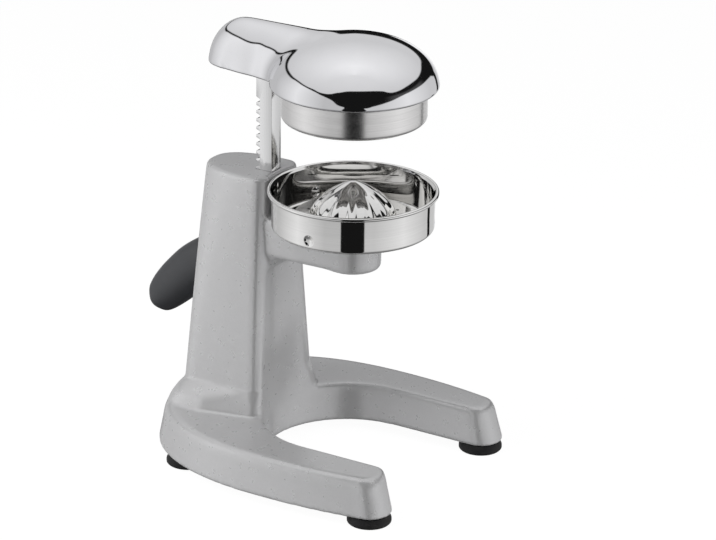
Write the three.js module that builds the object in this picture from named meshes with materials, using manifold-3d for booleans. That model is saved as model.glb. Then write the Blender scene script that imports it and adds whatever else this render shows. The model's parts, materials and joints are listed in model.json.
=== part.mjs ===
// A lever citrus juice press: a cast stand with a horseshoe base, a bowl with its strainer and
// cone, and a pressing head that a rack, a pinion and a side lever move up and down.
// Millimetres, +Z up. The press stands on the plane z = 0, the bowl's axis is at x = 0 and
// y = 0 while the pieces are made, -Y is the open side below the spout and +X the lever's side.

import * as THREE from 'three';
import { mergeVertices } from 'three/addons/utils/BufferGeometryUtils.js';
import Module from 'manifold-3d';

const wasm = await Module();
wasm.setup();

// Fits
const seatGap = 0.3;
const slideGap = 0.3;
const boreGap = 0.3;
const cutOverrun = 3;

// How wide the crown of a screw's head is, as a share of the head
const screwCrownShare = 0.75;

// Round pieces: how many sides they have
const largeSides = 40;
const mediumSides = 20;
const smallSides = 10;
const holeSides = 6;

// Bowl
const bowlRimRadius = 63.3;
const rimReach = 3.1;
const bowlSink = 30.4;
const bowlDepth = 29.2;
const bowlCornerRadius = 2.6;
const sheetThickness = 1;
const rimBeadRadius = 1.6;
const spoutRadius = 12;
const spoutRise = 1.6;
const dimpleCount = 3;
const dimpleRadius = 3.2;
const dimpleDepth = 1.6;
const dimpleRise = 7.2;

// Strainer plate and cone
const strainerRise = 8.2;
const strainerRadius = 44.6;
const strainerCornerRadius = 2;
const strainerBoreRadius = 25;
const holeCircleRadius = 34.4;
const holeRadius = 1.3;
const holeCount = 10;
const firstHoleAngle = THREE.MathUtils.degToRad(32);
const notchWidth = 7;
const notchHeight = 3.4;
const notchCount = 6;
const coneRadius = 31;
const coneHeight = 26.5;
const coneThickness = 1.6;
const coneRibCount = 12;
const coneRibDepth = 1.7;
const coneCurvePower = 1.5;
const coneRibStartShare = 0.25;
const coneGrooveShare = 0.3;

// Stand: base
const undersideHeight = 8;
const baseDepth = 30.5;
const baseHalfWidth = 103.5;
const baseWidestY = 13;
const baseTailLength = 55;
const baseBackPower = 2.3;
const toeRadius = 17;
const toeInset = 24;
const toeReach = 66.7;
const toeSetback = 5.4;
const backSetback = 2.6;
const crotchY = 64;
const innerEdgeShare = 0.3;
const baseDraft = 2.4;
const baseEdgeInset = 7.4;
const baseEdgeDepth = 11.3;
const baseLowerEdge = 1.2;

// Stand: column and shoulder
const columnTopHeight = 221.4;
const shoulderDepth = 18.5;
const columnTopHalfWidth = 26.4;
const columnTopWidestDepth = 7;
const columnBackTaper = 3.3;
const columnTopPower = 2.5;
const columnFootFrontHalfWidth = 39.8;
const columnFootHalfWidth = 41.3;
const columnFootBackDepth = 27.8;
const columnFootPower = 6;
const wellGap = 1.7;
const columnCornerRadius = 8.8;
const columnTopEdge = 0.7;
const shoulderFrontHalfWidth = 45;
const shoulderHalfWidth = 54.5;
const shoulderShelf = 9;
const baseShelf = 15.2;
const shoulderPower = 6;
const shoulderCurvePower = 1.4;

// Stand: arm and boss below the bowl
const bossRadius = 21.3;
const bossDepth = 30.9;
const armDepth = 29.9;
const armHalfWidth = 24;
const armEdge = 2.6;
const armFilletRadius = 11;
const armFilletSetback = 4.7;
const armRootDepth = 7;

// Stand: inside
const castingWall = 4.5;
const columnTopPlate = 9;
const guideHalfWidth = 14;
const guideDepth = 12.5;
const channelUndersideHeight = 68;
const frontSkin = 2.3;

// Feet
const footRadius = 16.4;
const footNeckRadius = 14.6;
const footBevel = 1.4;
const rearFootInset = 38.5;
const rearFootSetback = 49;
const footBossRadius = 8;
const footScrewRadius = 2.8;
const footScrewLength = 20;
const footScrewHeadRadius = 5.2;
const footScrewHeadHeight = 2.6;
const footRecessRadius = 6.4;
const footRecessDepth = 4.2;

// Rack and pinion
const gearModule = 2;
const toothAddendum = 1.4;
const toothDedendum = 1.8;
const toothBacklash = 0.3;
const pressureAngle = THREE.MathUtils.degToRad(20);
const pinionTeeth = 17;
const pinionWidth = 12;
const pinionHubRadius = 9.5;
const pinionHubHalfLength = 12.9;
const rackWidth = 12.5;
const rackPitchDepth = 15;
const rackTailLength = 18.2;
const rackSocketDepth = 16.3;
const rackPlainLength = 22.7;
const rackToothMargin = 3;
const axleDepth = 52.7;
const stopPlateHalfWidth = 11;
const stopPlateThickness = 2;
const stopScrewRadius = 2;
const stopScrewLength = 14;
const stopScrewHeadRadius = 3.6;
const stopScrewHeadHeight = 2.4;

// Axle and its bearings
const axleRadius = 6;
const bushRadius = 8.5;
const bushFlangeRadius = 11.5;
const bushFlangeThickness = 1.5;
const nearBossRadius = 12;
const nearBossFaceX = 15;
const nearBossCover = 4.2;
const nearBoreEndWall = 3;
const farPadRadius = 15;
const farPadRise = 3;
const pinionPinRadius = 2;
const pinionPinX = 9.4;
const pinionPinLength = 18;

// Lever and grip
const leverRestAngle = THREE.MathUtils.degToRad(-39.9);
const leverHubRadius = 14;
const leverHubWidth = 14;
const leverRodRadius = 6;
const leverSideX = 78;
const leverBendStart = 18;
const leverBendEnd = 58;
const leverTangEnd = 124;
const leverScrewRadius = 2.5;
const leverScrewLength = 22;
const leverScrewHeadRadius = 4.6;
const leverScrewHeadHeight = 4.4;
const leverWasherRadius = 8.5;
const leverWasherThickness = 1.5;
const gripStart = 62;
const gripEnd = 179.5;
const gripHalfWidth = 18.7;
const gripHalfThickness = 11;
const gripLean = 3.6;

// Head and bell
const domeRadius = 62;
const headRaise = 80.1;
const domeHeight = 35.2;
const domeCurvePower = 2.1;
const domeWall = 3.4;
const headLipDrop = 2.7;
const headLipInset = 6;
const lobeReach = 43;
const lobeFrontY = 22;
const lobeCrownHeight = 31.3;
const lobeWallRise = 1;
const lobeHalfWidth = 23;
const lobeEndDepth = 29;
const lobeCrownPower = 2;
const lobeUndersideDrop = 2.3;
const lobeEdge = 1.6;
const rackBossHalfWidth = 10.5;
const rackBossWall = 4;
const rackScrewRadius = 2;
const rackScrewHeadRadius = 3.6;
const rackScrewHeadHeight = 4;
const rackScrewLength = 12;
const rackScrewSpacing = 8;
const bellRadius = 53.5;
const bellLipDrop = 26.3;
const bellLipRadius = 3.4;
const bellTopDrop = 1;
const bellCrownRise = 18.5;
const bellCrownRadius = 14;
const bellCrownPower = 1.7;
const bellBossRadius = 9;
const bellScrewRadius = 3;
const bellScrewLength = 14;
const bellScrewHeadRadius = 6;
const bellScrewHeadHeight = 3;
const bellWasherRadius = 10;
const bellWasherThickness = 1.2;

// Derived places shared by several pieces
const bowlWallRadius = bowlRimRadius - rimReach;
const columnWellRadius = bowlRimRadius + wellGap;
const columnTopWidestY = columnWellRadius + columnTopWidestDepth;
const armRootY = columnWellRadius + armRootDepth;
const toothPitch = Math.PI * gearModule;
const pinionPitchRadius = gearModule * pinionTeeth / 2;
const rackPitchLineY = columnWellRadius + rackPitchDepth;
const axleY = rackPitchLineY + pinionPitchRadius;
const baseBackY = axleY + baseTailLength;
const rearFootX = baseHalfWidth - rearFootInset;
const rearFootY = baseBackY - rearFootSetback;
const lobeBackY = rackPitchLineY + lobeReach;
const baseTopHeight = undersideHeight + baseDepth;
const columnFootHeight = baseTopHeight + shoulderDepth;
const shoulderBackY = baseBackY - baseShelf;
const columnFootBackY = shoulderBackY - shoulderShelf;
const columnTopBackY = columnFootBackY - columnBackTaper;
const columnFootWidestY = columnFootBackY - columnFootBackDepth;
const toeHalfSpan = baseHalfWidth - toeInset;
const outerDrop = toeInset - toeRadius;
const bowlFloorHeight = columnTopHeight - bowlSink;
const bowlRimHeight = bowlFloorHeight + bowlDepth;
const dimpleHeight = bowlFloorHeight + dimpleRise;
const strainerHeight = bowlFloorHeight + strainerRise;
const domeWidestHeight = columnTopHeight + headRaise;
const headLipHeight = domeWidestHeight - headLipDrop;
const lobeUndersideHeight = domeWidestHeight - lobeUndersideDrop;
const lobeWallHeight = domeWidestHeight + lobeWallRise;
const lobeTopHeight = lobeWallHeight + lobeCrownHeight;
const bellTopHeight = domeWidestHeight - bellTopDrop;
const bellLipHeight = domeWidestHeight - bellLipDrop;
const bellCrownHeight = domeWidestHeight + bellCrownRise;
const axleHeight = columnTopHeight - axleDepth;
const rackBottomHeight = axleHeight - rackTailLength;
const rackTopHeight = lobeUndersideHeight + rackSocketDepth;
const rackTeethTopHeight = lobeUndersideHeight - rackPlainLength;
const rackFrontY = columnWellRadius + frontSkin + slideGap;
const rackBackY = rackPitchLineY + toothAddendum;
const rackMiddleY = (rackFrontY + rackPitchLineY - toothDedendum) / 2;
const stopPlateTopHeight = rackBottomHeight - seatGap;
const guideUndersideHeight = stopPlateTopHeight + slideGap;
const armTopHeight = bowlFloorHeight - seatGap;
const armUndersideHeight = armTopHeight - armDepth;
const bossUndersideHeight = armTopHeight - bossDepth;
const bossBoreRadius = spoutRadius + 2 * boreGap;
const feet = [
  ['foot_front_left', -toeHalfSpan, -toeReach],
  ['foot_front_right', toeHalfSpan, -toeReach],
  ['foot_rear_left', -rearFootX, rearFootY],
  ['foot_rear_right', rearFootX, rearFootY],
];

// Sections of the column: half width at the front corners, half width where it is widest and
// where that is, the back, and how square the back is
const columnTopSection = {
  frontHalfWidth: columnTopHalfWidth,
  halfWidth: columnTopHalfWidth,
  widestY: columnTopWidestY,
  backY: columnTopBackY,
  power: columnTopPower,
};
const columnFootSection = {
  frontHalfWidth: columnFootFrontHalfWidth,
  halfWidth: columnFootHalfWidth,
  widestY: columnFootWidestY,
  backY: columnFootBackY,
  power: columnFootPower,
};
const shoulderSection = {
  frontHalfWidth: shoulderFrontHalfWidth,
  halfWidth: shoulderHalfWidth,
  widestY: columnFootWidestY,
  backY: shoulderBackY,
  power: shoulderPower,
};

// Places along the axle, from the column's wall outwards
const axleWallX = halfWidthAt(axleHeight, axleY);
const nearBossOuterX = axleWallX - nearBossCover;
const nearBoreEndX = nearBossOuterX - nearBoreEndWall;
const farPadX = axleWallX + farPadRise;
const leverHubInnerX = farPadX + seatGap + bushFlangeThickness + seatGap;
const leverHubOuterX = leverHubInnerX + leverHubWidth;
const leverHubMiddleX = leverHubInnerX + leverHubWidth / 2;
const leverWasherX = leverHubOuterX + seatGap;
const leverScrewHeadX = leverWasherX + leverWasherThickness + seatGap;

// Materials
const castPaint = new THREE.MeshStandardMaterial({ color: 0xb9babb, roughness: 0.42, metalness: 0.55 });
const chrome = new THREE.MeshStandardMaterial({ color: 0xe4e5e7, roughness: 0.06, metalness: 1 });
const brushedSteel = new THREE.MeshStandardMaterial({ color: 0xc9c8c6, roughness: 0.28, metalness: 1 });
const polishedSteel = new THREE.MeshStandardMaterial({ color: 0xd6d6d4, roughness: 0.12, metalness: 1 });
const bearingBronze = new THREE.MeshStandardMaterial({ color: 0xa9803f, roughness: 0.4, metalness: 1 });
const gripPlastic = new THREE.MeshStandardMaterial({ color: 0x33363b, roughness: 0.45, metalness: 0 });
const footRubber = new THREE.MeshStandardMaterial({ color: 0x0d0d0e, roughness: 0.7, metalness: 0 });

// Solids from geometries

function facesPointingOut(positions, triangles) {
  let volume = 0;
  const corners = [new THREE.Vector3(), new THREE.Vector3(), new THREE.Vector3()];
  for (let start = 0; start < triangles.length; start += 3) {
    corners.forEach((corner, i) => corner.fromArray(positions, 3 * triangles[start + i]));
    volume += corners[0].dot(corners[1].cross(corners[2]));
  }
  return volume > 0;
}

function toSolid(geometry) {
  const bare = geometry.clone();
  bare.deleteAttribute('normal');
  bare.deleteAttribute('uv');
  const merged = mergeVertices(bare);
  const positions = merged.attributes.position.array;
  let triangles = [];
  for (let start = 0; start < merged.index.count; start += 3) {
    const [a, b, c] = merged.index.array.slice(start, start + 3);
    if (a !== b && b !== c && c !== a) triangles.push(a, b, c);
  }
  if (!facesPointingOut(positions, triangles)) triangles = triangles.reverse();
  return new wasm.Manifold(new wasm.Mesh({
    numProp: 3,
    vertProperties: new Float32Array(positions),
    triVerts: new Uint32Array(triangles),
  }));
}

function toMesh(name, solid, material) {
  const { vertProperties, triVerts } = solid.getMesh();
  const geometry = new THREE.BufferGeometry();
  geometry.setAttribute('position', new THREE.BufferAttribute(new Float32Array(vertProperties), 3));
  geometry.setIndex(new THREE.BufferAttribute(new Uint32Array(triVerts), 1));
  geometry.computeVertexNormals();
  const mesh = new THREE.Mesh(geometry, material);
  mesh.name = name;
  return mesh;
}

// A turned piece about the Z axis from [radius, height] pairs
function turned(profile, sides, x = 0, y = 0) {
  const points = profile.map(([radius, height]) => new THREE.Vector2(radius, height));
  return toSolid(new THREE.LatheGeometry(points, sides).rotateX(Math.PI / 2).translate(x, y, 0));
}

// A round bar between two heights
function post(radius, low, high, sides, x = 0, y = 0) {
  return turned([[0, low], [radius, low], [radius, high], [0, high]], sides, x, y);
}

// A round bar along X at the height of the axle
function axleBar(radius, fromX, toX, sides) {
  const bar = new THREE.CylinderGeometry(radius, radius, toX - fromX, sides);
  bar.rotateZ(Math.PI / 2);
  return toSolid(bar.translate((fromX + toX) / 2, axleY, axleHeight));
}

// A round bar along Y
function crossBar(radius, fromY, toY, height, sides) {
  const bar = new THREE.CylinderGeometry(radius, radius, toY - fromY, sides);
  return toSolid(bar.translate(0, (fromY + toY) / 2, height));
}

// How wide a six-sided hole is drawn so that a round screw clears its flats
function clearOf(screwRadius) {
  return (screwRadius + boreGap) / Math.cos(Math.PI / holeSides);
}

function block(low, high) {
  const size = high.map((value, i) => value - low[i]);
  const middle = high.map((value, i) => (value + low[i]) / 2);
  return toSolid(new THREE.BoxGeometry(...size).translate(...middle));
}

function union(...solids) {
  return solids.reduce((whole, solid) => whole.add(solid));
}

function cut(solid, ...tools) {
  return tools.reduce((rest, tool) => rest.subtract(tool), solid);
}

// A body through rings of points, with a flat cap on the first and the last ring
function loft(rings) {
  const size = rings[0].length;
  const positions = rings.flat().flatMap((point) => point.toArray());
  const triangles = [];
  for (let level = 0; level + 1 < rings.length; level += 1) {
    for (let i = 0; i < size; i += 1) {
      const next = (i + 1) % size;
      const low = level * size;
      const high = low + size;
      triangles.push(low + i, low + next, high + next, low + i, high + next, high + i);
    }
  }
  for (const [ring, first, turn] of [[rings[0], 0, -1], [rings.at(-1), (rings.length - 1) * size, 1]]) {
    const flat = ring.map((point) => new THREE.Vector2(point.x, point.y));
    for (const face of THREE.ShapeUtils.triangulateShape(flat, [])) {
      const corners = turn > 0 ? face : [...face].reverse();
      triangles.push(...corners.map((corner) => first + corner));
    }
  }
  const geometry = new THREE.BufferGeometry();
  geometry.setAttribute('position', new THREE.BufferAttribute(new Float32Array(positions), 3));
  geometry.setIndex(triangles);
  return toSolid(geometry);
}

function ringAt(outline, height) {
  return outline.map((point) => new THREE.Vector3(point.x, point.y, height));
}

// A closed outline from its right half, which runs from the front middle to the back middle
function mirrored(half) {
  const left = half.slice(1, -1).reverse().map((point) => new THREE.Vector2(-point.x, point.y));
  return [...half, ...left];
}

// The same outline moved inwards by a distance, or by one that varies from point to point;
// sharp corners are cut short
const sharpestMitreShare = 0.5;

function inset(outline, distance) {
  const size = outline.length;
  const distanceAt = typeof distance === 'function' ? distance : () => distance;
  return outline.map((point, i) => {
    const back = point.clone().sub(outline[(i + size - 1) % size]).normalize();
    const ahead = outline[(i + 1) % size].clone().sub(point).normalize();
    const inward = new THREE.Vector2(-back.y - ahead.y, back.x + ahead.x).normalize();
    const mitre = Math.max(inward.dot(new THREE.Vector2(-back.y, back.x)), sharpestMitreShare);
    return point.clone().addScaledVector(inward, distanceAt(point) / mitre);
  });
}

function arc(centreX, centreY, radius, fromAngle, toAngle, steps) {
  return Array.from({ length: steps + 1 }, (_, i) => {
    const angle = THREE.MathUtils.lerp(fromAngle, toAngle, i / steps);
    return new THREE.Vector2(centreX + radius * Math.cos(angle), centreY + radius * Math.sin(angle));
  });
}

// A quarter of a superellipse, from its side at [centreX + width, centreY] to its end
function quarter(width, centreY, depth, power, steps) {
  return Array.from({ length: steps + 1 }, (_, i) => {
    const angle = (Math.PI / 2) * (i / steps);
    const x = width * Math.cos(angle) ** (2 / power);
    return new THREE.Vector2(i === steps ? 0 : x, centreY + depth * Math.sin(angle) ** (2 / power));
  });
}

// The curve that eases from 1 at share 0 to 0 at share 1, rounder with a higher power
function easing(share, power) {
  return (1 - share ** power) ** (1 / power);
}

// Stand

function baseOutline() {
  const innerX = toeHalfSpan - toeRadius;
  const crotch = arc(0, crotchY - innerX, innerX, Math.PI / 2, 0, 8);
  const toe = arc(toeHalfSpan, -toeReach, toeRadius, -Math.PI, 0, 7);
  const outerSteps = 3;
  const outer = Array.from({ length: outerSteps }, (_, i) => {
    const share = (i + 1) / outerSteps;
    const y = THREE.MathUtils.lerp(-toeReach, baseWidestY, share);
    return new THREE.Vector2(baseHalfWidth - outerDrop * (1 - share) ** 2, y);
  });
  const back = quarter(baseHalfWidth, baseWidestY, baseBackY - baseWidestY, baseBackPower, 10);
  return mirrored([...crotch, ...toe, ...outer, ...back.slice(1)]);
}

// The toes lean back and the rear leans forward as the base rises
function leanEnds(outline, share) {
  return outline.map((point) => {
    const ahead = Math.max(baseWidestY - point.y, 0) / (baseWidestY + toeReach + toeRadius);
    const behind = Math.max(point.y - baseWidestY, 0) / (baseBackY - baseWidestY);
    const move = toeSetback * ahead ** 2 - backSetback * behind ** 2;
    return new THREE.Vector2(point.x, point.y + share * move);
  });
}

// How much of the edge's rounding a point has: little along the inner side of the horseshoe
function edgeShare(point) {
  const outwards = (Math.abs(point.x) - toeHalfSpan + toeRadius) / toeRadius;
  const share = THREE.MathUtils.lerp(innerEdgeShare, 1, THREE.MathUtils.clamp(outwards, 0, 1));
  return point.y > crotchY ? 1 : share;
}

function baseRing(height, edge, wall) {
  const share = (height - undersideHeight) / (baseTopHeight - undersideHeight);
  const outline = leanEnds(baseOutline(), share);
  return ringAt(inset(outline, (point) => wall + edge * edgeShare(point)), height);
}

function baseBody() {
  const wallTop = baseTopHeight - baseEdgeDepth;
  const rings = [
    baseRing(undersideHeight, baseLowerEdge, 0),
    baseRing(undersideHeight + baseLowerEdge, 0, 0),
    baseRing(wallTop, baseDraft, 0),
  ];
  const steps = 4;
  for (let i = 1; i <= steps; i += 1) {
    const angle = (Math.PI / 2) * (i / steps);
    const across = (baseEdgeInset - baseDraft) * (1 - Math.cos(angle));
    rings.push(baseRing(wallTop + baseEdgeDepth * Math.sin(angle), baseDraft + across, 0));
  }
  return loft(rings);
}

function between(low, high, share) {
  return Object.fromEntries(Object.keys(low).map((key) => (
    [key, THREE.MathUtils.lerp(low[key], high[key], share)]
  )));
}

function columnSectionAt(height) {
  const share = (height - columnFootHeight) / (columnTopHeight - columnFootHeight);
  return between(columnFootSection, columnTopSection, share);
}

// Half the column's width at a height and a place behind its widest
function halfWidthAt(height, y) {
  const { halfWidth, widestY, backY, power } = columnSectionAt(height);
  return halfWidth * easing(Math.max(y - widestY, 0) / (backY - widestY), power);
}

// The outline of a section: a rounded back, flat sides, round front corners and a front that is
// hollowed round the bowl's axis
function columnOutline({ frontHalfWidth, halfWidth, widestY, backY, power }) {
  const reach = columnWellRadius + columnCornerRadius;
  const cornerX = frontHalfWidth - columnCornerRadius;
  const cornerY = Math.sqrt(reach ** 2 - cornerX ** 2);
  const sideY = Math.max(widestY, cornerY + columnTopEdge);
  const wellAngle = Math.atan2(cornerY, cornerX);
  const front = arc(0, 0, columnWellRadius, Math.PI / 2, wellAngle, 4);
  const corner = arc(cornerX, cornerY, columnCornerRadius, wellAngle - Math.PI, 0, 5);
  return mirrored([...front, ...corner.slice(1), ...quarter(halfWidth, sideY, backY - sideY, power, 9)]);
}

function columnOutlineAt(height) {
  return columnOutline(columnSectionAt(height));
}

function columnBody() {
  const heights = [baseTopHeight - castingWall, columnFootHeight, armTopHeight, columnTopHeight - columnTopEdge];
  const rings = heights.map((height) => ringAt(columnOutlineAt(height), height));
  rings.push(ringAt(inset(columnOutlineAt(columnTopHeight), columnTopEdge), columnTopHeight));
  return loft(rings);
}

function shoulderBody() {
  const low = baseTopHeight - castingWall;
  const ring = (share, height) => (
    ringAt(columnOutline(between(columnFootSection, shoulderSection, share)), height)
  );
  const steps = 4;
  const rings = [ring(1, low)];
  for (let i = 0; i <= steps; i += 1) {
    const angle = (Math.PI / 2) * (i / steps);
    const height = THREE.MathUtils.lerp(
      baseTopHeight, columnFootHeight, Math.sin(angle) ** (2 / shoulderCurvePower),
    );
    rings.push(ring(Math.cos(angle) ** (2 / shoulderCurvePower), height));
  }
  return loft(rings);
}

function armBody() {
  const outline = mirrored([
    ...arc(0, 0, bossRadius, -Math.PI / 2, 0, mediumSides / 4),
    new THREE.Vector2(armHalfWidth, armRootY),
    new THREE.Vector2(0, armRootY),
  ]);
  const rings = [
    ringAt(inset(outline, armEdge), armUndersideHeight),
    ringAt(outline, armUndersideHeight + armEdge),
    ringAt(outline, armTopHeight),
  ];
  const boss = turned([
    [0, bossUndersideHeight],
    [bossRadius - armEdge, bossUndersideHeight],
    [bossRadius, bossUndersideHeight + armEdge],
    [bossRadius, armTopHeight],
    [0, armTopHeight],
  ], mediumSides);
  return union(loft(rings), boss, armFillet());
}

// The hollow curve from the underside of the arm down to the front of the column
function armFillet() {
  const low = armUndersideHeight - armFilletRadius;
  const frontY = columnWellRadius - armFilletSetback;
  const curve = arc(frontY - armFilletRadius, low, armFilletRadius, Math.PI / 2, 0, 5);
  const top = armUndersideHeight + armEdge;
  const shape = new THREE.Shape([
    ...curve,
    new THREE.Vector2(armRootY, low),
    new THREE.Vector2(armRootY, top),
    new THREE.Vector2(frontY - armFilletRadius, top),
  ]);
  const halfWidth = armHalfWidth - armEdge;
  const web = new THREE.ExtrudeGeometry(shape, { depth: 2 * halfWidth, bevelEnabled: false });
  web.applyMatrix4(new THREE.Matrix4().makeBasis(
    new THREE.Vector3(0, 1, 0),
    new THREE.Vector3(0, 0, 1),
    new THREE.Vector3(1, 0, 0),
  ));
  return toSolid(web.translate(-halfWidth, 0, 0));
}

function standHollow() {
  const ceiling = columnTopHeight - columnTopPlate;
  const columnRings = [undersideHeight - cutOverrun, columnFootHeight, armTopHeight, ceiling].map((height) => (
    ringAt(inset(columnOutlineAt(height), castingWall), height)
  ));
  const baseRings = [
    baseRing(undersideHeight - cutOverrun, 0, castingWall),
    baseRing(baseTopHeight - baseEdgeDepth, baseDraft, castingWall),
    baseRing(baseTopHeight - castingWall, baseEdgeInset, castingWall),
  ];
  return union(loft(columnRings), loft(baseRings));
}

function rackGuide() {
  return block(
    [-guideHalfWidth, columnWellRadius, guideUndersideHeight],
    [guideHalfWidth, columnWellRadius + guideDepth, columnTopHeight - columnTopPlate / 2],
  );
}

function buildStand() {
  const outer = union(baseBody(), columnBody(), shoulderBody(), armBody());
  const hollow = standHollow();
  const bosses = feet.map(([, x, y]) => (
    post(footBossRadius, undersideHeight, baseTopHeight - castingWall + seatGap, mediumSides, x, y)
  ));
  const bearings = [
    axleBar(nearBossRadius, -nearBossOuterX, -nearBossFaceX, mediumSides),
    axleBar(farPadRadius, nearBossFaceX, farPadX, mediumSides),
  ];
  const inside = union(rackGuide(), ...bosses).intersect(outer);
  const body = union(cut(outer, hollow), inside, ...bearings);
  const channel = block(
    [-rackWidth / 2 - slideGap, rackFrontY - slideGap, channelUndersideHeight],
    [rackWidth / 2 + slideGap, rackBackY + slideGap, columnTopHeight + cutOverrun],
  );
  const screwTop = footRecessDepth + seatGap + footScrewLength + seatGap;
  const screwHoles = feet.map(([, x, y]) => (
    post(clearOf(footScrewRadius), undersideHeight - cutOverrun, screwTop, holeSides, x, y)
  ));
  return cut(
    body,
    channel,
    axleBar(bushRadius + boreGap, -nearBoreEndX, -nearBossFaceX + cutOverrun, mediumSides),
    axleBar(bushRadius + boreGap, nearBossFaceX - cutOverrun, farPadX + cutOverrun, mediumSides),
    post(bossBoreRadius, bossUndersideHeight - cutOverrun, armTopHeight + cutOverrun, mediumSides),
    ...screwHoles,
  );
}

// Feet

function buildFoot(x, y) {
  const top = undersideHeight - seatGap;
  return turned([
    [footRecessRadius, 0],
    [footRadius - footBevel, 0],
    [footRadius, footBevel],
    [footRadius, undersideHeight / 2],
    [footNeckRadius, top],
    [footScrewRadius + boreGap, top],
    [footScrewRadius + boreGap, footRecessDepth],
    [footRecessRadius, footRecessDepth],
    [footRecessRadius, 0],
  ], mediumSides, x, y);
}

function buildFootScrew(x, y) {
  const seat = footRecessDepth - seatGap;
  const tip = seat + footScrewLength;
  return turned([
    [0, seat - footScrewHeadHeight],
    [footScrewHeadRadius * screwCrownShare, seat - footScrewHeadHeight],
    [footScrewHeadRadius, seat - footScrewHeadHeight / 2],
    [footScrewHeadRadius, seat],
    [footScrewRadius, seat],
    [footScrewRadius, tip],
    [0, tip],
  ], smallSides, x, y);
}

// Bowl, strainer and cone

function buildBowl() {
  const inner = bowlWallRadius - sheetThickness;
  const floorTop = bowlFloorHeight + sheetThickness;
  const beadX = bowlRimRadius - rimBeadRadius;
  const beadHeight = bowlRimHeight - rimBeadRadius;
  const corner = arc(
    bowlWallRadius - bowlCornerRadius, bowlFloorHeight + bowlCornerRadius,
    bowlCornerRadius, -Math.PI / 2, 0, 2,
  );
  const innerCorner = arc(
    bowlWallRadius - bowlCornerRadius, bowlFloorHeight + bowlCornerRadius,
    bowlCornerRadius - sheetThickness, 0, -Math.PI / 2, 2,
  );
  const bead = arc(beadX, beadHeight, rimBeadRadius, -Math.PI * 0.75, Math.PI * 0.85, 6);
  const pairs = (points) => points.map((point) => [point.x, point.y]);
  const spoutEnd = bossUndersideHeight + spoutRise;
  const spoutBore = spoutRadius - sheetThickness;
  const body = turned([
    [spoutRadius, spoutEnd],
    [spoutRadius, bowlFloorHeight],
    ...pairs(corner),
    ...pairs(bead),
    [inner, beadHeight],
    ...pairs(innerCorner),
    [spoutBore, floorTop],
    [spoutBore, spoutEnd],
    [spoutRadius, spoutEnd],
  ], largeSides);
  const ball = (depth, radius, i) => {
    const angle = Math.PI + (2 * Math.PI * i) / dimpleCount;
    const reach = bowlWallRadius - depth + radius;
    const sphere = new THREE.SphereGeometry(radius, smallSides, smallSides / 2);
    return toSolid(sphere.translate(reach * Math.cos(angle), reach * Math.sin(angle), dimpleHeight));
  };
  const counts = Array.from({ length: dimpleCount }, (_, i) => i);
  const bulges = counts.map((i) => ball(dimpleDepth + sheetThickness, dimpleRadius, i));
  const dents = counts.map((i) => ball(dimpleDepth, dimpleRadius, i));
  const shell = turned([
    [spoutRadius, bowlFloorHeight + bowlCornerRadius],
    [bowlWallRadius, bowlFloorHeight + bowlCornerRadius],
    [bowlWallRadius, beadHeight],
    [spoutRadius, beadHeight],
    [spoutRadius, bowlFloorHeight + bowlCornerRadius],
  ], largeSides);
  return cut(union(body, ...bulges.map((bulge) => bulge.intersect(shell))), ...dents);
}

// A plate with a turned-down skirt that stands on the floor of the bowl
function buildStrainer() {
  const floorTop = bowlFloorHeight + sheetThickness + seatGap;
  const top = strainerHeight + sheetThickness;
  const cornerX = strainerRadius - strainerCornerRadius;
  const cornerHeight = top - strainerCornerRadius;
  const outer = arc(cornerX, cornerHeight, strainerCornerRadius, Math.PI / 2, 0, 2);
  const inner = arc(cornerX, cornerHeight, strainerCornerRadius - sheetThickness, 0, Math.PI / 2, 2);
  const plate = turned([
    [strainerBoreRadius, top],
    ...outer.map((point) => [point.x, point.y]),
    [strainerRadius, floorTop],
    [strainerRadius - sheetThickness, floorTop],
    ...inner.map((point) => [point.x, point.y]),
    [strainerBoreRadius, strainerHeight],
    [strainerBoreRadius, top],
  ], largeSides);
  const holes = Array.from({ length: holeCount }, (_, i) => {
    const angle = firstHoleAngle + (2 * Math.PI * i) / holeCount;
    const x = holeCircleRadius * Math.cos(angle);
    const y = holeCircleRadius * Math.sin(angle);
    return post(holeRadius, strainerHeight - cutOverrun, top + cutOverrun, holeSides, x, y);
  });
  // The juice runs out below the skirt through its notches
  const notches = Array.from({ length: notchCount }, (_, i) => {
    const notch = new THREE.BoxGeometry(2 * cutOverrun, notchWidth, 2 * notchHeight);
    notch.translate(strainerRadius, 0, floorTop);
    return toSolid(notch.rotateZ((2 * Math.PI * (i + 0.5)) / notchCount));
  });
  return cut(plate, ...holes, ...notches);
}

function coneRing(share, thickness) {
  const low = strainerHeight + sheetThickness + seatGap;
  const radius = (coneRadius - thickness) * easing(share, coneCurvePower) + coneRibDepth * (1 - share);
  const depth = thickness > 0 ? 0 : coneRibDepth * Math.sin(Math.PI * Math.min(share + coneRibStartShare, 1));
  const sides = 4 * coneRibCount;
  return Array.from({ length: sides }, (_, i) => {
    const angle = (2 * Math.PI * i) / sides;
    const reach = radius - coneRibDepth + depth * Math.max(Math.cos(coneRibCount * angle), -coneGrooveShare);
    const height = low + (coneHeight - thickness) * share;
    return new THREE.Vector3(reach * Math.cos(angle), reach * Math.sin(angle), height);
  });
}

function buildCone() {
  const coneShares = [0, 0.2, 0.45, 0.7, 0.88, 0.97];
  const outer = loft(coneShares.map((share) => coneRing(share, 0)));
  const inner = loft(coneShares.map((share) => (
    coneRing(share, coneThickness).map((point) => point.setZ(point.z - seatGap / 2))
  )));
  return outer.subtract(inner);
}

// Rack and pinion

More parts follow.
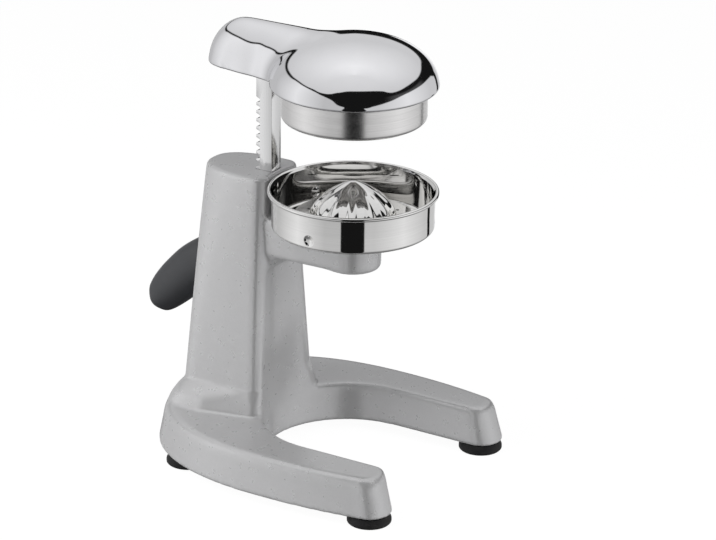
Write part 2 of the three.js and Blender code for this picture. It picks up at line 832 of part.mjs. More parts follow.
function buildRack() {
  const tipHalf = toothPitch / 4 - toothBacklash / 4 - toothAddendum * Math.tan(pressureAngle);
  const rootHalf = toothPitch / 4 - toothBacklash / 4 + toothDedendum * Math.tan(pressureAngle);
  const rootY = rackPitchLineY - toothDedendum;
  const points = [
    new THREE.Vector2(rackFrontY, rackBottomHeight),
    new THREE.Vector2(rootY, rackBottomHeight),
  ];
  const firstStep = Math.ceil((rackBottomHeight + rackToothMargin - axleHeight) / toothPitch - 0.5);
  for (let step = firstStep; ; step += 1) {
    const centre = axleHeight + (step + 0.5) * toothPitch;
    if (centre + rackToothMargin > rackTeethTopHeight) break;
    points.push(
      new THREE.Vector2(rootY, centre - rootHalf),
      new THREE.Vector2(rackBackY, centre - tipHalf),
      new THREE.Vector2(rackBackY, centre + tipHalf),
      new THREE.Vector2(rootY, centre + rootHalf),
    );
  }
  points.push(
    new THREE.Vector2(rootY, rackTeethTopHeight),
    new THREE.Vector2(rackBackY, rackTeethTopHeight + toothAddendum),
    new THREE.Vector2(rackBackY, rackTopHeight),
    new THREE.Vector2(rackFrontY, rackTopHeight),
  );
  const bar = new THREE.ExtrudeGeometry(new THREE.Shape(points), { depth: rackWidth, bevelEnabled: false });
  bar.applyMatrix4(new THREE.Matrix4().makeBasis(
    new THREE.Vector3(0, 1, 0),
    new THREE.Vector3(0, 0, 1),
    new THREE.Vector3(1, 0, 0),
  ));
  const holeEnd = rackBossBackY() - rackScrewLength - seatGap;
  const holes = rackScrewHeights().map((height) => (
    crossBar(clearOf(rackScrewRadius), holeEnd, rackBackY + cutOverrun, height, holeSides)
  ));
  const stopHole = post(
    clearOf(stopScrewRadius), rackBottomHeight - cutOverrun,
    rackBottomHeight + stopScrewLength, holeSides, 0, rackMiddleY,
  );
  return cut(toSolid(bar.translate(-rackWidth / 2, 0, 0)), ...holes, stopHole);
}

function buildStopPlate() {
  const high = stopPlateTopHeight;
  const plate = block(
    [-stopPlateHalfWidth, columnWellRadius + castingWall + slideGap, high - stopPlateThickness],
    [stopPlateHalfWidth, rackBackY, high],
  );
  return cut(plate, post(
    clearOf(stopScrewRadius), high - stopPlateThickness - cutOverrun, high + cutOverrun, holeSides, 0, rackMiddleY,
  ));
}

function buildStopScrew() {
  const seat = stopPlateTopHeight - stopPlateThickness - seatGap;
  const tip = rackBottomHeight + stopScrewLength - 2 * seatGap;
  return turned([
    [0, seat - stopScrewHeadHeight],
    [stopScrewHeadRadius, seat - stopScrewHeadHeight],
    [stopScrewHeadRadius, seat],
    [stopScrewRadius, seat],
    [stopScrewRadius, tip],
    [0, tip],
  ], smallSides, 0, rackMiddleY);
}

function involute(angle) {
  return Math.tan(angle) - angle;
}

function buildPinion() {
  const baseRadius = pinionPitchRadius * Math.cos(pressureAngle);
  const rootRadius = pinionPitchRadius - toothDedendum;
  const tipRadius = pinionPitchRadius + toothAddendum;
  const halfAtPitch = (toothPitch / 2 - toothBacklash / 2) / (2 * pinionPitchRadius);
  const halfAngle = (radius) => {
    const slope = Math.acos(Math.min(baseRadius / radius, 1));
    return halfAtPitch + involute(pressureAngle) - involute(slope);
  };
  const flank = [rootRadius, baseRadius, pinionPitchRadius, tipRadius];
  const points = [];
  for (let tooth = 0; tooth < pinionTeeth; tooth += 1) {
    const middle = Math.PI + (2 * Math.PI * tooth) / pinionTeeth;
    const place = (radius, angle) => (
      new THREE.Vector2(radius * Math.cos(middle + angle), radius * Math.sin(middle + angle))
    );
    flank.forEach((radius) => points.push(place(radius, -halfAngle(radius))));
    [...flank].reverse().forEach((radius) => points.push(place(radius, halfAngle(radius))));
  }
  const wheel = new THREE.ExtrudeGeometry(new THREE.Shape(points), { depth: pinionWidth, bevelEnabled: false });
  wheel.applyMatrix4(new THREE.Matrix4().makeBasis(
    new THREE.Vector3(0, 1, 0),
    new THREE.Vector3(0, 0, 1),
    new THREE.Vector3(1, 0, 0),
  ));
  wheel.translate(-pinionWidth / 2, axleY, axleHeight);
  const hub = axleBar(pinionHubRadius, -pinionHubHalfLength, pinionHubHalfLength, mediumSides);
  return cut(
    union(toSolid(wheel), hub),
    axleBar(axleRadius + boreGap, -pinionHubHalfLength - cutOverrun, pinionHubHalfLength + cutOverrun, mediumSides),
    pinBar(pinionPinRadius + boreGap, pinionPinLength + 2 * cutOverrun),
  );
}

function pinBar(radius, length) {
  const bar = new THREE.CylinderGeometry(radius, radius, length, smallSides);
  return toSolid(bar.rotateX(Math.PI / 2).translate(pinionPinX, axleY, axleHeight));
}

function buildAxle() {
  const round = axleBar(axleRadius, boreGap - nearBoreEndX, leverHubInnerX - seatGap, mediumSides);
  const square = block(
    [leverHubInnerX - seatGap - cutOverrun, axleY - axleFlat(), axleHeight - axleFlat()],
    [leverHubOuterX - seatGap, axleY + axleFlat(), axleHeight + axleFlat()],
  );
  return cut(
    union(round, square),
    axleBar(leverScrewRadius + boreGap, leverScrewEndX() - seatGap, leverHubOuterX + cutOverrun, smallSides),
    pinBar(pinionPinRadius + boreGap, 2 * axleRadius + 2 * cutOverrun),
  );
}

// Half the side of the square end that drives the lever
function axleFlat() {
  return axleRadius * Math.SQRT1_2;
}

function leverScrewEndX() {
  return leverScrewHeadX - leverScrewLength;
}

// Flanged bushes: one in the blind bore of the near wall, one in the open bore of the far wall
function buildNearBush() {
  const flangeX = -nearBossFaceX + seatGap;
  const body = union(
    axleBar(bushRadius, boreGap - nearBoreEndX, flangeX, mediumSides),
    axleBar(bushFlangeRadius, flangeX, flangeX + bushFlangeThickness, mediumSides),
  );
  return cut(body, axleBar(axleRadius + boreGap, -nearBoreEndX - cutOverrun, 0, mediumSides));
}

function buildFarBush() {
  const flangeX = farPadX + seatGap;
  const body = union(
    axleBar(bushRadius, pinionHubHalfLength + seatGap, flangeX, mediumSides),
    axleBar(bushFlangeRadius, flangeX, flangeX + bushFlangeThickness, mediumSides),
  );
  return cut(body, axleBar(axleRadius + boreGap, 0, farPadX + 2 * cutOverrun, mediumSides));
}

// Lever and grip are made along +Z from the axle, then turned down to their rest

function toLever(solid) {
  const turn = new THREE.Matrix4().makeRotationX(leverRestAngle - Math.PI / 2);
  turn.setPosition(0, axleY, axleHeight);
  return solid.transform(turn.toArray());
}

function buildLeverArm() {
  const at = (x, along) => new THREE.Vector3(x, 0, along);
  const halfway = (leverBendStart + leverBendEnd) / 2;
  const path = new THREE.CurvePath();
  path.add(new THREE.LineCurve3(at(leverHubMiddleX, leverHubRadius / 2), at(leverHubMiddleX, leverBendStart)));
  path.add(new THREE.CubicBezierCurve3(
    at(leverHubMiddleX, leverBendStart), at(leverHubMiddleX, halfway),
    at(leverSideX, halfway), at(leverSideX, leverBendEnd),
  ));
  path.add(new THREE.LineCurve3(at(leverSideX, leverBendEnd), at(leverSideX, leverTangEnd)));
  const section = new THREE.Shape(arc(0, 0, leverRodRadius, 0, 2 * Math.PI, smallSides).slice(0, -1));
  const rod = new THREE.ExtrudeGeometry(section, { steps: 20, extrudePath: path, bevelEnabled: false });
  const hub = new THREE.CylinderGeometry(leverHubRadius, leverHubRadius, leverHubWidth, mediumSides);
  hub.rotateZ(Math.PI / 2).translate(leverHubMiddleX, 0, 0);
  const half = axleFlat() + boreGap;
  const square = new THREE.BoxGeometry(leverHubWidth + 2 * cutOverrun, 2 * half, 2 * half);
  square.rotateX(Math.PI / 2 - leverRestAngle).translate(leverHubMiddleX, 0, 0);
  return toLever(cut(union(toSolid(hub), toSolid(rod)), toSolid(square)));
}

function buildLeverWasher() {
  const washer = axleBar(leverWasherRadius, leverWasherX, leverWasherX + leverWasherThickness, mediumSides);
  const hole = axleBar(leverScrewRadius + boreGap, leverHubOuterX, leverScrewHeadX + cutOverrun, smallSides);
  return cut(washer, hole);
}

function buildLeverScrew() {
  const headEnd = leverScrewHeadX + leverScrewHeadHeight;
  const screw = union(
    axleBar(leverScrewRadius, leverScrewEndX(), leverScrewHeadX + seatGap, smallSides),
    axleBar(leverScrewHeadRadius, leverScrewHeadX, headEnd, mediumSides),
  );
  const socket = axleBar(leverScrewRadius, headEnd - leverScrewHeadHeight / 2, headEnd + cutOverrun, holeSides);
  return cut(screw, socket);
}

function buildGrip() {
  // Along the grip: place, width, thickness and lean as shares of their largest values
  const gripShares = [
    [0, 0.5, 0.72, 0],
    [0.04, 0.56, 0.8, 0.05],
    [0.16, 0.74, 0.92, 0.4],
    [0.34, 0.93, 1, 0.88],
    [0.52, 1, 1, 1],
    [0.7, 0.952, 0.94, 0.71],
    [0.83, 0.855, 0.85, 0.36],
    [0.92, 0.698, 0.8, 0.07],
    [0.97, 0.423, 0.56, 0],
    [1, 0.14, 0.16, -0.04],
  ];
  const rings = gripShares.map(([place, width, thickness, lean]) => (
    Array.from({ length: mediumSides }, (_, i) => {
      const angle = (2 * Math.PI * i) / mediumSides;
      return new THREE.Vector3(
        leverSideX + gripHalfThickness * thickness * Math.cos(angle),
        gripHalfWidth * width * Math.sin(angle) - gripLean * lean,
        THREE.MathUtils.lerp(gripStart, gripEnd, place),
      );
    })
  ));
  const bore = post(
    leverRodRadius + boreGap, gripStart - cutOverrun, leverTangEnd + boreGap, mediumSides, leverSideX, 0,
  );
  return toLever(cut(loft(rings), bore));
}

// Head and bell

function domeProfile(radius, height) {
  const steps = 8;
  return Array.from({ length: steps + 1 }, (_, i) => {
    const angle = (Math.PI / 2) * (i / steps);
    const reach = i === steps ? 0 : radius * Math.cos(angle) ** (2 / domeCurvePower);
    return [reach, domeWidestHeight + height * Math.sin(angle) ** (2 / domeCurvePower)];
  });
}

// The lobe behind the dome is a loaf: its outline at the foot, from its front inside the dome to
// its back end, as places between front and back and half widths, both as shares
const lobeShares = [
  [0, 1.3],
  [0.24, 1.25],
  [0.43, 1.1],
  [0.53, 1.02],
  [0.62, 0.99],
  [0.77, 0.89],
  [0.87, 0.81],
  [0.93, 0.68],
  [0.975, 0.46],
  [0.994, 0.23],
];
const lobeRidgeShare = 0.03;
const lobeCrownSteps = 7;

function lobeOutline() {
  const half = lobeShares.map(([place, width]) => new THREE.Vector2(
    lobeHalfWidth * width,
    THREE.MathUtils.lerp(lobeFrontY, lobeBackY, place),
  ));
  return mirrored([new THREE.Vector2(0, lobeFrontY), ...half, new THREE.Vector2(0, lobeBackY)]);
}

// The outline drawn in towards the ridge of the lobe, which ends short of its back
function drawnIn(outline, share) {
  const ridgeEndY = lobeBackY - lobeEndDepth;
  return outline.map((point) => new THREE.Vector2(
    point.x * (1 - share),
    point.y > ridgeEndY ? THREE.MathUtils.lerp(point.y, ridgeEndY, share) : point.y,
  ));
}

function lobeBody(wall) {
  const outline = inset(lobeOutline(), wall);
  const low = wall > 0 ? lobeUndersideHeight - cutOverrun : lobeUndersideHeight;
  const crown = lobeCrownHeight - wall;
  const rings = [
    ringAt(wall > 0 ? outline : inset(outline, lobeEdge), low),
    ringAt(outline, low + lobeEdge),
  ];
  for (let i = 0; i <= lobeCrownSteps; i += 1) {
    const angle = (Math.PI / 2) * (i / lobeCrownSteps);
    const inwards = 1 - Math.cos(angle) ** (2 / lobeCrownPower);
    const rise = crown * Math.sin(angle) ** (2 / lobeCrownPower);
    rings.push(ringAt(drawnIn(outline, Math.min(inwards, 1 - lobeRidgeShare)), lobeWallHeight + rise));
  }
  return loft(rings);
}

function rackBossBackY() {
  return rackBackY + slideGap + rackBossWall;
}

function rackScrewHeights() {
  const high = rackTopHeight - rackScrewSpacing / 2;
  return [high - rackScrewSpacing, high];
}

function buildHead() {
  const lip = arc(0, 0, 1, -Math.PI / 2, 0, 3).map((point) => (
    [domeRadius - headLipInset * (1 - point.x), domeWidestHeight + headLipDrop * point.y]
  ));
  const dome = turned([
    [0, headLipHeight],
    ...lip.slice(0, -1),
    ...domeProfile(domeRadius, domeHeight),
  ], largeSides);
  const outer = union(dome, lobeBody(0));
  const bossUnderside = bellCrownHeight + sheetThickness + seatGap;
  const domeHollow = turned([
    [0, headLipHeight - cutOverrun],
    [bellRadius + seatGap, headLipHeight - cutOverrun],
    [bellRadius + seatGap, domeWidestHeight],
    ...domeProfile(domeRadius - domeWall, domeHeight - domeWall).slice(1),
  ], largeSides);
  const bellBoss = post(bellBossRadius, bossUnderside, domeWidestHeight + domeHeight - domeWall / 2, mediumSides);
  const lobeHollow = lobeBody(domeWall).intersect(block(
    [-domeRadius, domeRadius, 0],
    [domeRadius, lobeBackY, lobeTopHeight],
  ));
  const rackBoss = block(
    [-rackBossHalfWidth, domeRadius, lobeUndersideHeight + lobeEdge],
    [rackBossHalfWidth, rackBossBackY(), lobeTopHeight - 2 * domeWall],
  );
  const pocket = block(
    [-rackWidth / 2 - slideGap, rackFrontY - slideGap, lobeUndersideHeight - cutOverrun],
    [rackWidth / 2 + slideGap, rackBackY + slideGap, rackTopHeight + seatGap],
  );
  const screwHoles = rackScrewHeights().map((height) => (
    crossBar(clearOf(rackScrewRadius), rackBackY - cutOverrun, rackBossBackY() + cutOverrun, height, holeSides)
  ));
  const bellHole = post(
    clearOf(bellScrewRadius), bossUnderside - cutOverrun, bellScrewTip() + seatGap, holeSides,
  );
  const shell = cut(outer, domeHollow, lobeHollow);
  return cut(union(shell, bellBoss, rackBoss.intersect(outer)), pocket, ...screwHoles, bellHole);
}

function buildRackScrew(height) {
  const seat = rackBossBackY() + seatGap;
  const screw = union(
    crossBar(rackScrewRadius, seat - rackScrewLength, seat + seatGap, height, smallSides),
    crossBar(rackScrewHeadRadius, seat, seat + rackScrewHeadHeight, height, smallSides),
  );
  const headEnd = seat + rackScrewHeadHeight;
  return cut(screw, crossBar(rackScrewRadius, headEnd - rackScrewHeadHeight / 2, headEnd + cutOverrun, height, holeSides));
}

function bellScrewTip() {
  return bellCrownHeight - bellWasherThickness - 2 * seatGap + bellScrewLength;
}

// A pressing of even thickness from the line of its outer face
function pressing(line, thickness, sides) {
  const points = line.map(([radius, height]) => new THREE.Vector2(radius, height));
  const back = points.map((point, i) => {
    const before = points[Math.max(i - 1, 0)];
    const after = points[Math.min(i + 1, points.length - 1)];
    const along = after.clone().sub(before).normalize();
    return point.clone().add(new THREE.Vector2(along.y, -along.x).multiplyScalar(thickness));
  });
  const loop = [...points, ...back.reverse(), points[0]];
  return turned(loop.map((point) => [point.x, point.y]), sides);
}

function buildBell() {
  const lip = arc(
    bellRadius - bellLipRadius, bellLipHeight + bellLipRadius, bellLipRadius, 0, -Math.PI, 4,
  ).map((point) => [point.x, point.y]);
  const innerRadius = bellRadius - 2 * bellLipRadius;
  const steps = 5;
  const crown = Array.from({ length: steps }, (_, i) => {
    const share = (i + 1) / steps;
    const radius = THREE.MathUtils.lerp(innerRadius, bellCrownRadius, share);
    const rise = bellCrownHeight - bellLipHeight - bellLipRadius;
    return [radius, bellLipHeight + bellLipRadius + rise * easing(1 - share, bellCrownPower)];
  });
  return pressing([
    [bellRadius, bellTopHeight],
    ...lip,
    ...crown,
    [bellScrewRadius + boreGap, bellCrownHeight],
  ], sheetThickness, largeSides);
}

function buildBellWasher() {
  const top = bellCrownHeight - seatGap;
  const washer = post(bellWasherRadius, top - bellWasherThickness, top, mediumSides);
  return cut(washer, post(bellScrewRadius + boreGap, top - 2 * cutOverrun, top + cutOverrun, smallSides));
}

function buildBellScrew() {
  const seat = bellCrownHeight - bellWasherThickness - 2 * seatGap;
  return turned([
    [0, seat - bellScrewHeadHeight],
    [bellScrewHeadRadius * screwCrownShare, seat - bellScrewHeadHeight],
    [bellScrewHeadRadius, seat - bellScrewHeadHeight / 2],
    [bellScrewHeadRadius, seat],
    [bellScrewRadius, seat],
    [bellScrewRadius, bellScrewTip()],
    [0, bellScrewTip()],
  ], smallSides);
}

// The press, with its origin on the table below the middle of its outline

const press = new THREE.Group();
press.add(toMesh('stand', buildStand(), castPaint));
for (const [name, x, y] of feet) {
  press.add(toMesh(name, buildFoot(x, y), footRubber));
  press.add(toMesh(name.replace('foot', 'foot_screw'), buildFootScrew(x, y), brushedSteel));
}
press.add(toMesh('juice_bowl', buildBowl(), polishedSteel));
press.add(toMesh('strainer_plate', buildStrainer(), brushedSteel));
press.add(toMesh('reamer_cone', buildCone(), polishedSteel));
press.add(toMesh('rack', buildRack(), polishedSteel));
press.add(toMesh('rack_stop_plate', buildStopPlate(), brushedSteel));
press.add(toMesh('rack_stop_screw', buildStopScrew(), brushedSteel));
press.add(toMesh('pinion', buildPinion(), brushedSteel));
press.add(toMesh('pinion_pin', pinBar(pinionPinRadius, pinionPinLength), brushedSteel));
press.add(toMesh('axle', buildAxle(), brushedSteel));
press.add(toMesh('axle_bush_inner', buildNearBush(), bearingBronze));
press.add(toMesh('axle_bush_outer', buildFarBush(), bearingBronze));
press.add(toMesh('lever_arm', buildLeverArm(), chrome));
press.add(toMesh('lever_washer', buildLeverWasher(), brushedSteel));
press.add(toMesh('lever_screw', buildLeverScrew(), brushedSteel));
press.add(toMesh('lever_grip', buildGrip(), gripPlastic));
press.add(toMesh('head', buildHead(), chrome));
rackScrewHeights().forEach((height, i) => {
  press.add(toMesh(`rack_screw_${i + 1}`, buildRackScrew(height), brushedSteel));
});
press.add(toMesh('press_bell', buildBell(), brushedSteel));
press.add(toMesh('bell_washer', buildBellWasher(), brushedSteel));
press.add(toMesh('bell_screw', buildBellScrew(), brushedSteel));

const footprint = new THREE.Box3().setFromObject(press);
press.position.set(
  -(footprint.min.x + footprint.max.x) / 2,
  -(footprint.min.y + footprint.max.y) / 2,
  0,
);

export default press;
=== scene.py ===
# %% [markdown]
# # A lever juice press, dressed for its picture
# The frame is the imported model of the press: its solids, its joints and its real sizes. This file
# keeps every place and size of it, and gives each piece the surface that the real one has.
# The pieces could be modelled from nothing here, but then they would drift from the frame, so each
# one is drawn from the same sizes and set where the frame has it.

# %% Load the frame and keep its box
import json
import math
import bmesh
import bpy
import numpy as np
from mathutils import Matrix, Vector


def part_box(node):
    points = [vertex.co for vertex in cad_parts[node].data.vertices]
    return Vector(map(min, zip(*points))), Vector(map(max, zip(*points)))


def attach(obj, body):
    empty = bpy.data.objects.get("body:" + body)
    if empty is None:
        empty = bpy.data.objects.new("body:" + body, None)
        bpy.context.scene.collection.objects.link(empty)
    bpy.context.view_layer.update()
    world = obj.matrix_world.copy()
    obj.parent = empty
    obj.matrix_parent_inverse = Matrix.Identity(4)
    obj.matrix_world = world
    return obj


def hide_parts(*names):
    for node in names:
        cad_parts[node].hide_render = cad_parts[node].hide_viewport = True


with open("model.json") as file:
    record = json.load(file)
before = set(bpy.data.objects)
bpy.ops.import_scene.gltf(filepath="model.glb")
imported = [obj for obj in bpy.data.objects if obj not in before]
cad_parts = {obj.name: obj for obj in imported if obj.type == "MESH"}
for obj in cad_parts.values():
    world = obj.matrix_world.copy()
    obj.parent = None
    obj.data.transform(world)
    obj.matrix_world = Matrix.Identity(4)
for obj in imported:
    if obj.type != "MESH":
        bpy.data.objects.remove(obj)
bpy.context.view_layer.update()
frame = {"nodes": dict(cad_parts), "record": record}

# %% [markdown]
# ## Millimetres from the bowl's axis
# A maker draws the press round one line, the axis through the bowl, the cone and the bell. Points are
# given here in millimetres from that axis on the table, and one function moves them into the frame.
# Scaling an object would also do, but every object has to stay at the origin, so the points move.

# %% From drawing to frame
bowl_low, bowl_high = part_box("juice_bowl")
axis_y = (bowl_low.y + bowl_high.y) / 2
axis_y_mm = 1000 * axis_y


def metres(points):
    placed = np.array(points, dtype=float) / 1000
    placed[..., 1] += axis_y
    return placed


def node_box(name):
    """A node's lowest and highest corner in millimetres from the bowl's axis."""
    low, high = (np.array(corner) * 1000 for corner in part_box(name))
    low[1] -= axis_y_mm
    high[1] -= axis_y_mm
    return low, high


print("the bowl's axis is at y", round(axis_y_mm, 2), "mm")

# %% [markdown]
# ## Meshes from rows of points
# A casting, a pressing and a turned part all have surfaces that run in rows. A row could be a curve
# with a bevel, but rows of points give closed meshes whose size is exact, so they are used throughout.
# The faces of each new mesh are turned outwards, and a face is smooth unless it meets a sharp edge.

# %% Making a mesh and its object
edge_angle = math.radians(38)


def shade(piece, angle=edge_angle):
    mesh = piece.data
    mesh.polygons.foreach_set("use_smooth", [True] * len(mesh.polygons))
    mesh.set_sharp_from_angle(angle=angle)
    mesh.update()


def make_piece(name, points, faces, placed=True):
    mesh = bpy.data.meshes.new(name)
    where = metres(points) if placed else np.array(points)
    mesh.from_pydata(where.tolist(), [], faces)
    work = bmesh.new()
    work.from_mesh(mesh)
    bmesh.ops.recalc_face_normals(work, faces=work.faces)
    work.to_mesh(mesh)
    work.free()
    piece = bpy.data.objects.new(name, mesh)
    bpy.context.scene.collection.objects.link(piece)
    shade(piece)
    return piece


def row_faces(rows, size, wrap=False):
    low = np.arange(rows if wrap else rows - 1)[:, None] * size
    high = (low + size) % (rows * size)
    first = np.arange(size)[None, :]
    second = (first + 1) % size
    faces = np.stack([low + first, low + second, high + second, high + first], axis=-1)
    return faces.reshape(-1, 4).tolist()


# %% Lofts and turned pieces
def loft(name, rows):
    """A closed body through rows of as many points each, with a flat end on the first and the last."""
    rows = np.array(rows, dtype=float)
    count, size = rows.shape[:2]
    faces = row_faces(count, size)
    faces.append(list(range(size))[::-1])
    faces.append([(count - 1) * size + i for i in range(size)])
    return make_piece(name, rows.reshape(-1, 3), faces)


def spun(profile, angles, axis, at):
    profile = np.array(profile, dtype=float)
    radius = profile[:, 0][:, None]
    along = np.repeat(profile[:, 1][:, None], len(angles), axis=1)
    first = radius * np.cos(angles)[None, :]
    second = radius * np.sin(angles)[None, :]
    if axis == "Z":
        columns = [first + at[0], second + at[1], along]
    elif axis == "X":
        columns = [along, first + at[0], second + at[1]]
    else:
        columns = [first + at[0], along, second + at[1]]
    return np.stack(columns, axis=-1)


def turned(name, profile, sides=96, axis="Z", at=(0, 0)):
    """A piece from a lathe. The profile is pairs of radius and place along the axis. It either comes
    back to its first point, which leaves a bore, or starts and ends on the axis."""
    bored = np.allclose(profile[0], profile[-1])
    angles = np.linspace(0, 2 * np.pi, sides, endpoint=False)
    grid = spun(profile[:-1] if bored else profile[1:-1], angles, axis, at)
    rows = grid.shape[0]
    faces = row_faces(rows, sides, wrap=bored)
    points = grid.reshape(-1, 3)
    if not bored:
        poles = spun([profile[0], profile[-1]], angles[:1], axis, at)[:, 0]
        start = len(points)
        points = np.vstack([points, poles])
        last = (rows - 1) * sides
        for i in range(sides):
            after = (i + 1) % sides
            faces.append([start, after, i])
            faces.append([start + 1, last + i, last + after])
    return make_piece(name, points, faces)


def eased(profile, reach, steps=4):
    """The same profile with each corner rounded over that reach, or less beside short lines."""
    corners = [np.array(point, dtype=float) for point in profile]
    closed = np.allclose(corners[0], corners[-1])
    if closed:
        corners = corners[:-1]
    smooth = []
    for i, corner in enumerate(corners):
        if not closed and i in (0, len(corners) - 1):
            smooth.append(corner)
            continue
        back = corners[i - 1] - corner
        ahead = corners[(i + 1) % len(corners)] - corner
        back_length = np.linalg.norm(back)
        ahead_length = np.linalg.norm(ahead)
        if back @ ahead / (back_length * ahead_length) < -0.985:
            smooth.append(corner)
            continue
        cut_back = min(reach, 0.45 * back_length, 0.45 * ahead_length)
        start = corner + back / back_length * cut_back
        end = corner + ahead / ahead_length * cut_back
        for share in np.linspace(0, 1, steps + 1):
            smooth.append((1 - share) ** 2 * start + 2 * share * (1 - share) * corner + share ** 2 * end)
    if closed:
        smooth.append(smooth[0])
    return smooth


def arc(x, y, radius, start, end, steps):
    angles = np.radians(np.linspace(start, end, steps + 1))
    return np.column_stack([x + radius * np.cos(angles), y + radius * np.sin(angles)])


# %% [markdown]
# ## Cutting and joining
# A casting is one body with holes in it. Holes could be drawn face by face, but a boolean modifier
# cuts them as a drill would, and its manifold solver is quick even on a fine mesh. The result is
# applied at once, so that no modifier is left on a piece.

# %% Booleans and applied modifiers
def apply_modifiers(piece):
    graph = bpy.context.evaluated_depsgraph_get()
    made = bpy.data.meshes.new_from_object(piece.evaluated_get(graph))
    piece.modifiers.clear()
    old = piece.data
    name = old.name
    piece.data = made
    bpy.data.meshes.remove(old)
    made.name = name


def combine(piece, tool, operation="DIFFERENCE"):
    modifier = piece.modifiers.new("combine", "BOOLEAN")
    modifier.operation = operation
    modifier.solver = "MANIFOLD"
    modifier.object = tool
    apply_modifiers(piece)
    if len(piece.data.polygons) == 0:
        raise RuntimeError("nothing left of " + piece.name + " after " + tool.name)
    old = tool.data
    bpy.data.objects.remove(tool)
    bpy.data.meshes.remove(old)
    shade(piece)


def block(name, low, high):
    x0, y0, z0 = low
    x1, y1, z1 = high
    ring = [(x0, y0), (x1, y0), (x1, y1), (x0, y1)]
    return loft(name, [[(x, y, z) for x, y in ring] for z in (z0, z1)])


def post(name, radius, low, high, sides=48, axis="Z", at=(0, 0)):
    return turned(name, [(0, low), (radius, low), (radius, high), (0, high)], sides, axis, at)


# %% Softening a mesh
def soften(piece, passes, strength=0.5, hold=None):
    """Moves each point towards the middle of its neighbours, as sand and paint soften a casting."""
    mesh = piece.data
    count = len(mesh.vertices)
    points = np.empty(3 * count)
    mesh.vertices.foreach_get("co", points)
    points = points.reshape(-1, 3)
    edges = np.empty(2 * len(mesh.edges), dtype=np.int64)
    mesh.edges.foreach_get("vertices", edges)
    first, second = edges.reshape(-1, 2).T
    degree = np.bincount(first, minlength=count) + np.bincount(second, minlength=count)
    for _ in range(passes):
        middle = np.empty_like(points)
        for axis in range(3):
            values = points[:, axis]
            sums = np.bincount(first, values[second], count) + np.bincount(second, values[first], count)
            middle[:, axis] = sums / np.maximum(degree, 1)
        move = strength * (middle - points)
        if hold is not None:
            move *= hold(points)[:, None]
        points = points + move
    mesh.vertices.foreach_set("co", points.ravel())
    mesh.update()


def remesh(piece, size_mm):
    modifier = piece.modifiers.new("remesh", "REMESH")
    modifier.mode = "VOXEL"
    modifier.voxel_size = size_mm / 1000
    apply_modifiers(piece)


# %% [markdown]
# ## Materials from nodes
# Each finish is a Principled shader whose colour, roughness and height come from noise at the scale
# of the real surface. Pictures could be wrapped on the pieces instead, but noise needs no unwrapping
# and holds up close by. What is the same all over a piece is set on the shader itself.

# %% Small helpers for node trees
def new_finish(name, **sockets):
    material = bpy.data.materials.new(name)
    material.use_nodes = True
    tree = material.node_tree
    shader = tree.nodes["Principled BSDF"]
    for socket, value in sockets.items():
        shader.inputs[socket.replace("_", " ")].default_value = value
    return material, tree, shader


def add_node(tree, kind, inputs=None, **settings):
    node = tree.nodes.new(kind)
    for key, value in settings.items():
        setattr(node, key, value)
    for key, value in (inputs or {}).items():
        if isinstance(value, bpy.types.NodeSocket):
            tree.links.new(value, node.inputs[key])
        else:
            node.inputs[key].default_value = value
    return node


def grey(value):
    return (value, value, value, 1)


def noise(tree, scale, detail=2.0, vector=None, roughness=0.5):
    made = add_node(tree, "ShaderNodeTexNoise", {"Scale": scale, "Detail": detail, "Roughness": roughness})
    if vector is None:
        vector = add_node(tree, "ShaderNodeTexCoord").outputs["Object"]
    tree.links.new(vector, made.inputs["Vector"])
    return made.outputs["Fac"]


def ranged(tree, value, low, high, from_low=0.0, from_high=1.0):
    inputs = {"Value": value, "From Min": from_low, "From Max": from_high, "To Min": low, "To Max": high}
    return add_node(tree, "ShaderNodeMapRange", inputs).outputs["Result"]


def maths(tree, operation, first, second=0.0):
    return add_node(tree, "ShaderNodeMath", {0: first, 1: second}, operation=operation).outputs[0]


def mixed(tree, share, first, second):
    node = add_node(tree, "ShaderNodeMix", data_type="RGBA")
    for key, value in (("Factor", share), ("A", first), ("B", second)):
        kind = "VALUE" if key == "Factor" else "RGBA"
        socket = [s for s in node.inputs if s.name == key and s.type == kind][0]
        if isinstance(value, bpy.types.NodeSocket):
            tree.links.new(value, socket)
        else:
            socket.default_value = value
    return [s for s in node.outputs if s.type == "RGBA"][0]


def add_bump(tree, shader, height, strength, distance_mm):
    inputs = {"Height": height, "Strength": strength, "Distance": distance_mm / 1000}
    before = shader.inputs["Normal"]
    if before.is_linked:
        inputs["Normal"] = before.links[0].from_socket
    tree.links.new(add_node(tree, "ShaderNodeBump", inputs).outputs["Normal"], before)


def round_the_axis(tree, across, along):
    """A direction that stretches noise round the bowl's axis, as turning and polishing leave it."""
    place = add_node(tree, "ShaderNodeTexCoord").outputs["Object"]
    moved = add_node(tree, "ShaderNodeVectorMath", {0: place, 1: (0.0, -axis_y, 0.0)}, operation="ADD")
    parts = add_node(tree, "ShaderNodeSeparateXYZ", {0: moved.outputs[0]}).outputs
    angle = maths(tree, "ARCTAN2", parts[1], parts[0])
    out = maths(tree, "POWER", maths(tree, "ADD", maths(tree, "POWER", parts[0], 2.0),
                                     maths(tree, "POWER", parts[1], 2.0)), 0.5)
    wrapped = maths(tree, "MULTIPLY", angle, across)
    height = maths(tree, "MULTIPLY", parts[2], along)
    reach = maths(tree, "MULTIPLY", out, along)
    return add_node(tree, "ShaderNodeCombineXYZ", {0: wrapped, 1: reach, 2: height}).outputs[0]


